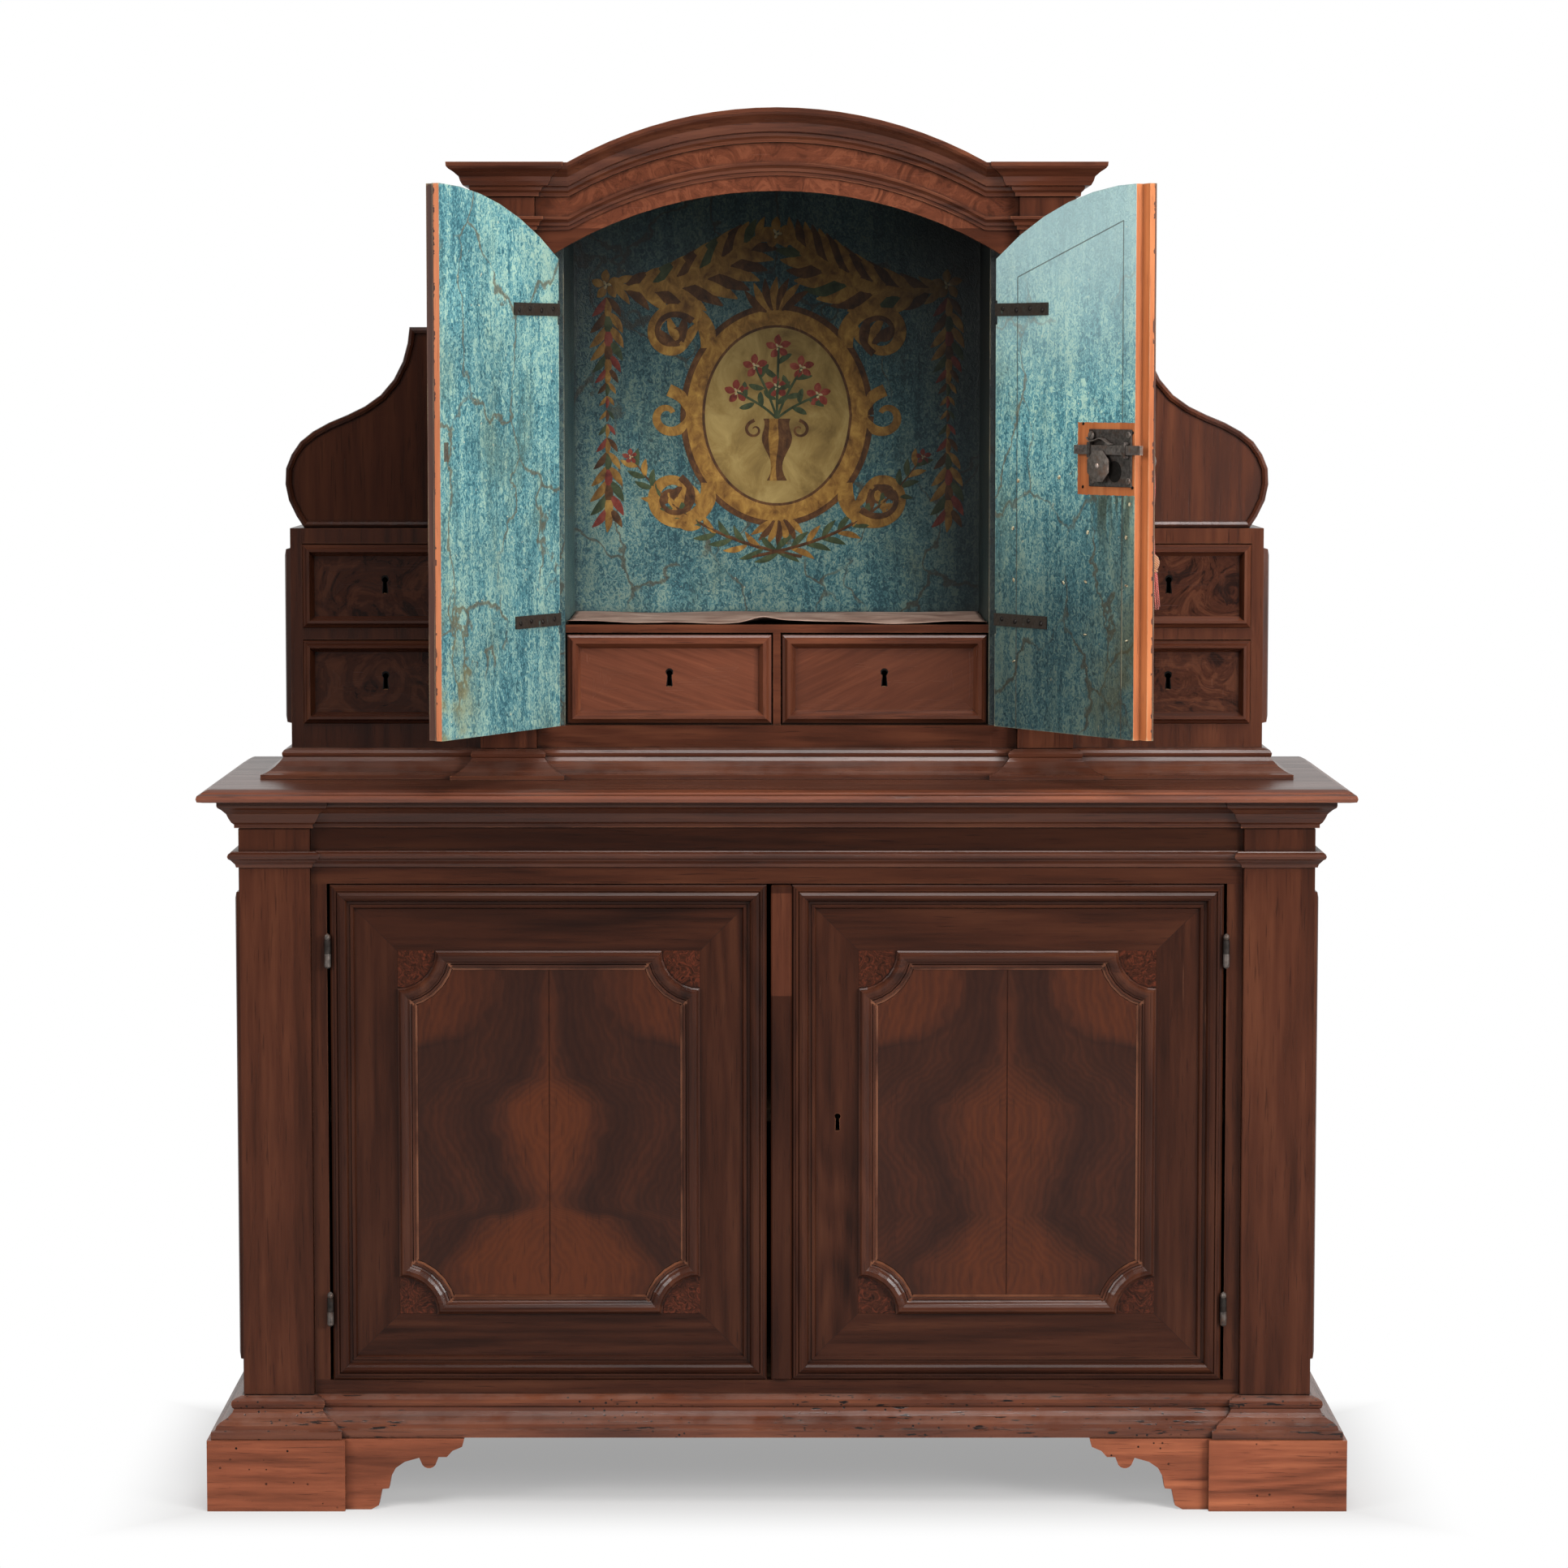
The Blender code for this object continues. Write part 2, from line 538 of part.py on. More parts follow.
# Upper stage
def upper_case(wood, dark, painted, pale):
    z0 = Z_TOP + GAP
    path = [(-CASE_HALF_W, -GAP), (-CASE_HALF_W, Y_UFRAME), (-TAB_HALF_W, Y_UFRAME), (-TAB_HALF_W, Y_UPIL),
            (-X_TPIL, Y_UPIL), (-X_TPIL, Y_UFRAME)]
    path += mirrored(path)
    f = PLINTH_OUT / 0.042
    plinth = [(-0.016, 0), (PLINTH_OUT, 0), (PLINTH_OUT, 0.0060), (0.0360 * f, 0.0080), (0.0300 * f, 0.0110),
              (0.0220 * f, 0.0170), (0.0150 * f, 0.0245), (0.0115 * f, 0.0300), (0.0128 * f, 0.0320),
              (0.0132 * f, 0.0360), (0.0105 * f, 0.0400), (0.0030 * f, 0.0427), (-0.016, 0.0427)]
    plinth = fitted(plinth, z0, Z_PLINTH)
    to_object("upper_plinth", sweep(path, plinth, on_plan), dark)
    zp = Z_PLINTH + GAP
    y_back = Y_UFRAME + 0.018
    for side, name in ((-1, "left"), (1, "right")):
        xs = sorted((side * (X_TPIL + GAP), side * (TAB_HALF_W - GAP)))
        pil = box(*xs, Y_UPIL, y_back, zp, Z_ARCH - GAP, 0.0010)
        post = to_object("upper_pilaster_" + name, pil, wood)
        for z in strap_levels():
            for bm in pintle(side, z):
                combine(post, bm, "UNION")
        xs = sorted((side * (TAB_HALF_W - GAP), side * (TAB_HALF_W - BOARD)))
        to_object("tabernacle_side_" + name, box(*xs, y_back + GAP, -GAP, z0, Z_ARCH - GAP), wood)
        xs = sorted((side * NICHE_HALF_W, side * (NICHE_HALF_W + NICHE_WALL_T)))
        wall = box(*xs, y_back + GAP, -0.018 - GAP, z0, Z_ARCH - GAP)
        to_object("niche_wall_" + name, wall, painted)
        side_case(side, name, wood)
        wing(side, name, wood)
    inner = TAB_HALF_W - BOARD - GAP
    xs = arch_stations(ARCH_SPAN, 16)
    top = [(x, Z_ARCH + 0.0012 + arch_dz(x)) for x in reversed(xs)]
    outline = [(-inner, z0), (inner, z0), (inner, Z_ARCH - GAP)] + top + [(-inner, Z_ARCH - GAP)]
    to_object("painted_back", prism(outline, on_front, -0.018, -GAP), painted)
    y_in = y_back + GAP
    half = NICHE_HALF_W - GAP
    floor = box(-half, half, y_in, -0.018 - GAP, INNER_Z0 - 0.018, INNER_Z0 - GAP)
    to_object("niche_floor", floor, pale)
    zs = SHELF_Z0
    d = 0.0055
    tee = [(-half, zs), (-d, zs), (-d, INNER_Z0), (d, INNER_Z0), (d, zs), (half, zs), (half, zs + SHELF_T),
           (-half, zs + SHELF_T)]
    to_object("niche_shelf", prism(tee, on_front, y_in + 0.006, -0.018 - GAP), wood)
    arch_front(wood, y_back)


def arch_front(wood, y_back):
    zp = Z_PLINTH + GAP
    side = X_TPIL - GAP
    xs = arch_stations(ARCH_SPAN, 20)
    count = len(xs)
    outer = [(-side, zp), (side, zp), (side, Z_ARCH - GAP)]
    outer += [(x, Z_ARCH - GAP + arch_dz(x)) for x in reversed(xs)] + [(-side, Z_ARCH - GAP)]
    hx = DOOR_HALF_W
    hole_x = [-hx + 2 * hx * k / (count - 1) for k in range(count)]
    mid = (INNER_Z0 + intrados(hx)) / 2
    hole = [(-hx, INNER_Z0), (hx, INNER_Z0), (hx, mid + 0.2)]
    hole += [(x, intrados(x)) for x in reversed(hole_x)] + [(-hx, mid + 0.2)]
    to_object("arch_head", ring_board(outer, hole, Y_UFRAME, y_back), wood)
    path = [(-TAB_HALF_W, -GAP), (-TAB_HALF_W, Y_UPIL), (-X_TPIL, Y_UPIL), (-X_TPIL, Y_UFRAME)]
    full = path + [(x, Y_UFRAME) for x in xs] + mirrored(path)

    def arched(u, v, h, i):
        lift = arch_dz(full[i][0])
        return Vector((u, v, h + lift))

    za = Z_ARCH - 0.0480
    strip = [(GAP, za), (0.0030, za), (0.0036, za + 0.0050), (0.0066, za + 0.0062), (0.0075, za + 0.0105),
             (0.0105, za + 0.0135), (0.0128, za + 0.0150), (0.0132, za + 0.0190), (GAP, za + 0.0190)]
    to_object("arch_architrave", sweep(full, strip, arched), wood)
    zc = Z_ARCH + GAP
    cornice = [(-0.014, zc), (0.0060, zc), (0.0066, zc + 0.0050), (0.0105, zc + 0.0085), (0.0120, zc + 0.0130),
               (0.0200, zc + 0.0150), (0.0235, zc + 0.0210), (0.0255, zc + 0.0275), (0.0330, zc + 0.0340),
               (0.0400, zc + 0.0385), (0.0430, zc + 0.0420), (0.0435, zc + 0.0480), (-0.014, zc + 0.0480)]
    to_object("arch_cornice", sweep(full, cornice, arched), wood)
    half = TAB_HALF_W - 0.014 - 2 * GAP
    low = [(x, Z_ARCH + 0.0015 + arch_dz(x)) for x in xs]
    high = [(x, z + 0.011) for x, z in reversed(low)]
    zr = Z_ARCH + 0.0015
    outline = [(-half, zr)] + low + [(half, zr), (half, zr + 0.011)] + high + [(-half, zr + 0.011)]
    to_object("roof_board", prism(outline, on_front, Y_UFRAME + 0.014 + GAP, -GAP), wood)


def side_case(side, name, wood):
    x0, x1 = TAB_HALF_W + GAP, CASE_HALF_W - GAP
    z0, z1 = Z_PLINTH + GAP, Z_PLINTH + SIDE_CASE_H
    panel = rect(Y_UFRAME + 0.034, -GAP - 0.040, z0 + 0.033, z1 - 0.030)
    bm = raised_board(rect(Y_UFRAME, -GAP, z0, z1), panel, x0, x1)
    case = to_object("side_case_" + name, flip(bm, side), wood)
    half = SIDE_DRAWER_W / 2 + CLEAR / 2
    for z in side_drawer_levels():
        xs = sorted((side * (SIDE_DRAWER_X - half), side * (SIDE_DRAWER_X + half)))
        bay = box(*xs, Y_UFRAME - 0.02, -0.030, z - GAP, z + SIDE_DRAWER_H + CLEAR)
        combine(case, bay, "DIFFERENCE")


def side_drawer_levels():
    return (SIDE_Z0, SIDE_Z0 + SIDE_DRAWER_H + SIDE_RAIL)


def wing(side, name, wood):
    """S-shaped bracket on a drawer case, with a bead round its face."""
    zb = Z_PLINTH + SIDE_CASE_H + GAP
    curve = [(0.694, 0.0), (0.705, 0.0165), (0.7165, 0.040), (0.7215, 0.064), (0.7205, 0.087), (0.712, 0.1075),
             (0.699, 0.126), (0.680, 0.141), (0.656, 0.154), (0.628, 0.1655), (0.602, 0.178), (0.5785, 0.1945),
             (0.559, 0.217), (0.5455, 0.243), (0.538, 0.270), (0.535, 0.2935)]
    inner = TAB_HALF_W + GAP
    f = (CASE_HALF_W - TAB_HALF_W) / 0.2837
    g = WING_H / 0.2935
    outline = [(inner, zb)] + [(TAB_HALF_W + (x - 0.4309) * f, zb + z * g) for x, z in curve]
    outline += [(inner, zb + WING_H)]
    y = Y_UFRAME + 0.010
    levels = [(0, y + 0.022), (0, y), (-0.0012, y - 0.0040), (-0.0050, y - 0.0062), (-0.0088, y - 0.0040),
              (-0.0100, y)]
    to_object("scroll_wing_" + name, flip(stack(outline, levels, on_front), side), wood)


def drawer(name, x0, x1, z0, z1, y, depth, lip, wood):
    """Drawer front with a raised frame, and an open box behind it."""
    w = lip
    levels = [(0, y + 0.018), (0, y - 0.0020), (-0.0015, y - 0.0040), (-w * 0.25, y - 0.0060),
              (-w * 0.45, y - 0.0105), (-w * 0.70, y - 0.0110), (-w * 0.86, y - 0.0065), (-w, y - 0.0020),
              (-w - 0.002, y + 0.0010)]
    front = to_object(name, stack(rect(x0, x1, z0, z1), levels, on_front), wood)
    a, b = x0 + 0.0015, x1 - 0.0015
    top = z1 - 0.012
    base = z0
    cup = [rect(a, b, y + 0.015, y + depth), rect(a, b, y + 0.015, y + depth),
           rect(a + 0.010, b - 0.010, y + 0.024, y + depth - 0.010),
           rect(a + 0.010, b - 0.010, y + 0.024, y + depth - 0.010)]
    heights = (base, top, top, base + 0.008)
    rings = [[Vector((u, v, h)) for u, v in ring] for ring, h in zip(cup, heights)]
    combine(front, skin(rings), "UNION")
    hole = keyhole((x0 + x1) / 2, (z0 + z1) / 2 + 0.003)
    combine(front, prism(hole, on_front, y - 0.02, y + 0.030), "DIFFERENCE")
    return front


def drawers(wood):
    for side, name in ((-1, "left"), (1, "right")):
        xs = sorted((side * (SIDE_DRAWER_X - SIDE_DRAWER_W / 2), side * (SIDE_DRAWER_X + SIDE_DRAWER_W / 2)))
        for z, level in zip(side_drawer_levels(), ("low", "high")):
            drawer("side_drawer_%s_%s" % (name, level), *xs, z, z + SIDE_DRAWER_H, Y_UFRAME, -Y_UFRAME - 0.038,
                   0.0150, wood)
        xs = sorted((side * (0.0055 + CLEAR), side * (NICHE_HALF_W - CLEAR)))
        y = Y_UFRAME + 0.018 + 0.012
        z = INNER_Z0 + GAP
        drawer("inner_drawer_" + name, *xs, z, z + INNER_DRAWER_H, y, -y - 0.033, 0.0190, wood)


def door_outline(meet):
    """Front outline of one arched door, drawn closed for the right-hand side and mirrored for the left."""
    x0, x1 = meet, X_UHINGE - DOOR_EDGE
    z0 = INNER_Z0 + CLEAR
    steps = 6
    top = []
    for k in range(steps + 1):
        x = x1 + (x0 - x1) * k / steps
        top.append((x, intrados(x, CLEAR)))
    return [(x0, z0), (x1, z0)] + top


def swing(side):
    """Matrix that carries a piece of the closed door to its photographed place."""
    angle = math.radians(-OPEN_LEFT if side < 0 else OPEN_RIGHT)
    axis = Vector((side * X_UHINGE, Y_DOOR, 0))
    return Matrix.Translation(axis) @ Matrix.Rotation(angle, 4, "Z") @ Matrix.Translation(-axis)


def upper_doors(painted, iron, steel, thread):
    y = Y_DOOR
    meeting = ((-1, "left", MEET_LEFT_OUT, MEET_LEFT_IN), (1, "right", MEET_RIGHT_OUT, MEET_RIGHT_IN))
    for side, name, outer, inner in meeting:
        far = min(outer, inner)
        face = door_outline(far)
        rings = [[Vector((u, h, v)) for u, v in face] for h in (y + DOOR_T, y)]
        offset = [mitre(face, i, True) for i in range(len(face))]
        for inset, h in ((0.026, y), (0.0275, y - 0.0030), (0.034, y - 0.0048), (0.041, y - 0.0030),
                         (0.044, y + 0.0025)):
            rings.append([Vector((u - m.x * inset, h, v - m.y * inset)) for (u, v), m in zip(face, offset)])
        origin = (side * X_UHINGE, Y_DOOR, 0)
        leaf = to_object("upper_door_" + name, flip(skin(rings), side), painted)
        cheek = y + DOOR_T / 2
        half = (y - 0.03, cheek + GAP) if outer > inner else (cheek - GAP, y + DOOR_T + 0.03)
        lap = box(far - 0.02, max(outer, inner), *half, Z_PLINTH, Z_ARCH + 0.1)
        combine(leaf, flip(lap, side), "DIFFERENCE")
        for z in strap_levels():
            combine(leaf, flip(strap_slot(z), side), "DIFFERENCE")
        if side > 0:
            key_hole(leaf)
        leaf.data.transform(swing(side))
        rebase(leaf, origin)
        for z, level in zip(strap_levels(), ("low", "high")):
            bm = flip(strap(z), side)
            to_object("strap_%s_%s" % (name, level), bm, iron, origin, swing(side))
    lock(iron, steel, thread)


def strap_levels():
    return (Z_PLINTH + STRAP_LOW, intrados(X_UHINGE) - STRAP_DROP)


def strap_slot(z):
    """Clearance cut in the hinge edge of a door, drawn for the right-hand side."""
    x = X_UHINGE
    inner = x - EYE_R - 0.0004
    deep = inner - 0.0025
    back = Y_DOOR + EYE_R + 0.0029
    outline = [(x + 0.02, Y_DOOR - 0.02), (x + 0.02, Y_DOOR + DOOR_T + 0.01), (inner, Y_DOOR + DOOR_T + 0.01),
               (inner, back), (deep, back), (deep, Y_DOOR - 0.02)]
    return prism(outline, on_plan, z - 0.0125, z + STRAP_H + 0.0045)


def strap(z):
    """Strap on the inner face, turned round the edge of the door and rolled into an eye on the axis."""
    x, y = X_UHINGE, Y_DOOR
    back = y + DOOR_T + GAP
    edge = x - EYE_R
    tail = x - DOOR_EDGE - STRAP_L
    outline = arc(x, y, EYE_R, 60, -190, 12) + [(edge, y + 0.004), (edge, back), (tail, back),
                                                (tail, back + STRAP_T), (edge + STRAP_T, back + STRAP_T),
                                                (edge + STRAP_T, y + 0.0045)]
    outline += arc(x, y, EYE_HOLE_R, -205, 60, 12)
    return prism(outline, on_plan, z, z + STRAP_H)


def pintle(side, z):
    """Hook driven into the pilaster: an arm under the eye and a pin up through it."""
    centre = (side * X_UHINGE, Y_DOOR, z)
    yield box(*sorted((side * (X_UHINGE - 0.0020), side * (X_TPIL + 0.004))), Y_DOOR - 0.0022, Y_DOOR + 0.0022,
              z - 0.0100, z - 0.0006)
    yield lathe([(PIN_R, -0.0090), (PIN_R, STRAP_H + 0.0020), (0.0012, STRAP_H + 0.0035)], centre, 12)


def key_place():
    """Key axis on the closed right door: x and z of the keyhole."""
    return MEET_RIGHT_IN + KEY_X, Z_PLINTH + KEY_Z


def key_hole(leaf):
    """Keyhole through the face and a round pocket for the bit behind it."""
    x, z = key_place()
    size = 0.79
    slot = keyhole(x, z - 0.006 * size, size)
    combine(leaf, prism(slot, on_front, Y_DOOR - 0.02, Y_DOOR + 0.014), "DIFFERENCE")
    turn = Matrix.Translation((x, Y_DOOR + 0.0225, z)) @ Matrix.Rotation(math.radians(90), 4, "X")
    combine(leaf, cylinder(0.0150, 0.025, turn, 18), "DIFFERENCE")


def lock(iron, steel, thread):
    """Iron lock on the inner face of the right door, its key and the tassel on the key."""
    x, z = key_place()
    place = swing(1)
    door_axis = (X_UHINGE, Y_DOOR, 0)
    y = Y_DOOR + DOOR_T + GAP
    free = MEET_RIGHT_IN - 0.0227
    plate = box(x - 0.0874, x + 0.0108, y, y + 0.0022, z - 0.0345, z + 0.0465, 0.0006)
    body = to_object("lock_plate", plate, iron)
    turn = Matrix.Translation((x - 0.010, y + 0.00165, z - 0.002)) @ Matrix.Rotation(math.radians(90), 4, "X")
    combine(body, cylinder(0.0150, 0.0023, turn, 18), "UNION")
    bz = z + 0.0175
    for u in (x - 0.0822, x - 0.0022):
        arch = [(u, bz - 0.011), (u + 0.006, bz - 0.011), (u + 0.006, bz + 0.011), (u, bz + 0.011)]
        bridge = prism(arch, on_front, y + 0.001, y + 0.0110)
        combine(body, bridge, "UNION")
        combine(body, box(u - 0.01, u + 0.016, y + 0.0026, y + 0.0086, bz - 0.0075, bz + 0.0075), "DIFFERENCE")
    body.data.transform(place)
    rebase(body, door_axis)
    bar = [(free, bz - 0.0065), (x + 0.0378, bz - 0.0065), (x + 0.0378, bz + 0.0065),
           (x - 0.0322, bz + 0.0065), (x - 0.0342, bz + 0.0095), (x - 0.0422, bz + 0.0095),
           (x - 0.0442, bz + 0.0065), (free, bz + 0.0065)]
    slide = prism(bar, on_front, y + 0.0031, y + 0.0081)
    to_object("lock_bolt", slide, steel, place @ Vector((free, y + 0.0056, bz)), place)
    bow = Vector((x, Y_DOOR - KEY_OUT, z))
    turn = Matrix.Translation((x, Y_DOOR + 0.020 - 0.042, z)) @ Matrix.Rotation(math.radians(90), 4, "X")
    key = to_object("key", cylinder(0.0030, 0.080, turn, 12), iron)
    combine(key, box(x - 0.0016, x + 0.0016, Y_DOOR + 0.0125, Y_DOOR + 0.0185, z - 0.0125, z), "UNION")
    ring = arc(x, z, 0.0130, 0, 340, 17)
    hollow = arc(x, z, 0.0085, 0, 340, 17)
    bow_mesh = ring_board(ring, hollow, bow.y - 0.0022, bow.y + 0.0022)
    bmesh.ops.transform(bow_mesh, matrix=Matrix.Translation(bow) @ Matrix.Rotation(math.radians(90), 4, "Z")
                        @ Matrix.Translation(-bow), verts=bow_mesh.verts)
    combine(key, bow_mesh, "UNION")
    key.data.transform(place)
    key_axis = place @ Vector((x, Y_DOOR, z))
    rebase(key, key_axis)
    hang = place @ Vector((x, bow.y + 0.0005, z))
    top = -0.0135
    low = -TASSEL_L
    end = low + 0.0815
    shape = [(0.0010, top), (0.0014, top - 0.002), (0.0014, end), (0.0030, end - 0.002), (0.0085, end - 0.008),
             (0.0095, end - 0.015), (0.0070, end - 0.023), (0.0060, end - 0.026), (0.0090, end - 0.032),
             (0.0112, end - 0.055), (0.0120, low), (0.0060, low - 0.0015)]
    to_object("tassel", lathe(shape, hang, 12), thread, key_axis)


def centre_on_floor():
    """Move everything in depth so that the origin is the middle of the bounding box."""
    bpy.context.view_layer.update()
    ys = [(o.matrix_world @ Vector(c)).y for o in bpy.data.objects for c in o.bound_box]
    shift = -(min(ys) + max(ys)) / 2
    for item in bpy.data.objects:
        item.location.y += shift
    print("depth shift %.6f" % shift)
    for name in ("lower_door_left", "lower_door_right", "upper_door_left", "upper_door_right", "key", "tassel"):
        print(name, ["%.6f" % v for v in bpy.data.objects[name].location])


def build():
    clear_scene()
    wood = material("walnut", (0.16, 0.065, 0.030), 0.42)
    dark = material("walnut_dark", (0.11, 0.045, 0.024), 0.45)
    pale = material("poplar", (0.42, 0.25, 0.12), 0.6)
    painted = material("blue_paint", (0.13, 0.24, 0.36), 0.6)
    iron = material("iron", (0.10, 0.095, 0.09), 0.5, 0.9)
    steel = material("worn_steel", (0.30, 0.29, 0.27), 0.4, 0.9)
    thread = material("red_thread", (0.35, 0.04, 0.03), 0.8)
    lower_case(wood, dark)
    lower_doors(wood, iron, dark)
    upper_case(wood, dark, painted, pale)
    drawers(wood)
    upper_doors(painted, iron, steel, thread)
    centre_on_floor()


build()
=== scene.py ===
"""Looks of the two-part credenza: waxed walnut, painted doors and niche, ironwork, worn edges."""
import math

import bpy
from mathutils import Matrix, Vector


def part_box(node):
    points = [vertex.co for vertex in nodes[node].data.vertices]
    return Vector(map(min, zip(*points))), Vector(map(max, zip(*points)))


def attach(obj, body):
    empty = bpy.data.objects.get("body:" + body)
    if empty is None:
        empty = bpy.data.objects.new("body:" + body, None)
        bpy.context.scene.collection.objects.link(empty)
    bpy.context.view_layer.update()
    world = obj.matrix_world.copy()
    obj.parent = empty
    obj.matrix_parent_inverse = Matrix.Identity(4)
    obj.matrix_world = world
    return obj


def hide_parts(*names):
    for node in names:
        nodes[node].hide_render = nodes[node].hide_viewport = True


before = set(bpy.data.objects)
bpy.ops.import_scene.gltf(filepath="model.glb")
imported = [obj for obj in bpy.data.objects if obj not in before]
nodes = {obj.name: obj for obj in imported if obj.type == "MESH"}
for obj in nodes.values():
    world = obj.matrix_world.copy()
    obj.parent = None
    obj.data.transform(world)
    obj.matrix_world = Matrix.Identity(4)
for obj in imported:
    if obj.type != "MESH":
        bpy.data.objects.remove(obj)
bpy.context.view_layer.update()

# Places taken over from the construction
FIELD_Y = -0.181163          # sunk field of the lower doors
SIDE_FIELD_Y = -0.022163     # sunk field of the side drawers
INNER_FIELD_Y = 0.007837     # sunk field of the inner drawers
HINGE_L = (-0.338, -0.035163, 0.0)
HINGE_R = (0.338, -0.035163, 0.0)
OPEN_L = math.radians(-117.6)
OPEN_R = math.radians(123.4)
DOOR_T = 0.024
LOCK_Z = 1.514


# Shader helpers
def add(tree, kind, values=None, **props):
    """New shader node; values fill its sockets with links or constants."""
    n = tree.nodes.new("ShaderNode" + kind)
    for key, value in props.items():
        setattr(n, key, value)
    for key, value in (values or {}).items():
        put(tree, value, n.inputs[key])
    return n


def put(tree, value, socket):
    if isinstance(value, bpy.types.NodeSocket):
        tree.links.new(value, socket)
    else:
        socket.default_value = value


def calc(tree, operation, a, b=0.0, clamp=False):
    n = tree.nodes.new("ShaderNodeMath")
    n.operation = operation
    n.use_clamp = clamp
    put(tree, a, n.inputs[0])
    put(tree, b, n.inputs[1])
    return n.outputs[0]


def blend(tree, amount, a, b, mode="MIX"):
    n = tree.nodes.new("ShaderNodeMix")
    n.data_type = "RGBA"
    n.blend_type = mode
    put(tree, amount, n.inputs[0])
    put(tree, a, n.inputs[6])
    put(tree, b, n.inputs[7])
    return n.outputs[2]


def between(tree, value, low, high, to_low=0.0, to_high=1.0):
    """Smooth step of a value from low to high."""
    n = tree.nodes.new("ShaderNodeMapRange")
    n.interpolation_type = "SMOOTHSTEP"
    put(tree, value, n.inputs[0])
    for i, limit in enumerate((low, high, to_low, to_high)):
        put(tree, limit, n.inputs[i + 1])
    return n.outputs[0]


def ramp(tree, value, stops):
    n = tree.nodes.new("ShaderNodeValToRGB")
    points = n.color_ramp.elements
    while len(points) < len(stops):
        points.new(0.5)
    for point, (place, colour) in zip(points, stops):
        point.position = place
        point.color = (*colour, 1.0)
    put(tree, value, n.inputs[0])
    return n.outputs[0]


def noise(tree, vector, scale, detail=4.0, rough=0.55, twist=0.0):
    n = add(tree, "TexNoise", {"Vector": vector, "Scale": scale, "Detail": detail, "Roughness": rough,
                               "Distortion": twist})
    return n.outputs[0]


def stretch(tree, vector, scale, move=(0, 0, 0), turn=(0, 0, 0), kind="POINT"):
    n = add(tree, "Mapping", {"Vector": vector, "Scale": scale, "Location": move, "Rotation": turn})
    n.vector_type = kind
    return n.outputs[0]


def object_place(tree):
    return add(tree, "TexCoord").outputs["Object"]


def split(tree, vector):
    return add(tree, "SeparateXYZ", {"Vector": vector}).outputs


def join(tree, x, y, z):
    return add(tree, "CombineXYZ", {"X": x, "Y": y, "Z": z}).outputs[0]


def effect(name, inputs, outputs):
    """Empty shader group with named sockets; returns the group and its two end nodes."""
    group = bpy.data.node_groups.new(name, "ShaderNodeTree")
    for label, kind, value in inputs:
        socket = group.interface.new_socket(label, in_out="INPUT", socket_type="NodeSocket" + kind)
        if value is not None:
            socket.default_value = value
    for label, kind in outputs:
        group.interface.new_socket(label, in_out="OUTPUT", socket_type="NodeSocket" + kind)
    return group, group.nodes.new("NodeGroupInput").outputs, group.nodes.new("NodeGroupOutput").inputs


def use(tree, group, values):
    n = tree.nodes.new("ShaderNodeGroup")
    n.node_tree = group
    for key, value in values.items():
        put(tree, value, n.inputs[key])
    return n.outputs


def grain_effect():
    """Sawn walnut with its fibres along Z: broad figure, growth lines and short dark pores."""
    g, i, o = effect("walnut_grain", [("Vector", "Vector", None), ("Figure", "Float", 2.0), ("Lines", "Float", 8.0)],
                     [("Tone", "Float"), ("Pores", "Float"), ("Height", "Float")])
    long = stretch(g, i["Vector"], (1, 1, 0.13))
    broad = noise(g, long, i["Figure"], 3, 0.5, 0.5)
    ripple = noise(g, stretch(g, i["Vector"], (1, 1, 0.06)), 64, 4, 0.6)
    wave = calc(g, "ADD", calc(g, "MULTIPLY", broad, calc(g, "MULTIPLY", i["Lines"], 6.283)),
                calc(g, "MULTIPLY", ripple, 2.4))
    lines = calc(g, "MULTIPLY_ADD", calc(g, "SINE", wave), 0.5)
    lines.node.inputs[2].default_value = 0.5
    cloud = noise(g, long, 15, 5, 0.6, 0.3)
    tone = calc(g, "ADD", calc(g, "MULTIPLY", cloud, 0.36), calc(g, "MULTIPLY", lines, 0.08))
    tone = calc(g, "ADD", tone, calc(g, "MULTIPLY", ripple, 0.56))
    pores = between(g, noise(g, stretch(g, i["Vector"], (1, 1, 0.045)), 420, 2, 0.5), 0.60, 0.72)
    put(g, tone, o["Tone"])
    put(g, pores, o["Pores"])
    put(g, calc(g, "SUBTRACT", calc(g, "MULTIPLY", ripple, 0.6), calc(g, "MULTIPLY", pores, 0.5)), o["Height"])
    return g


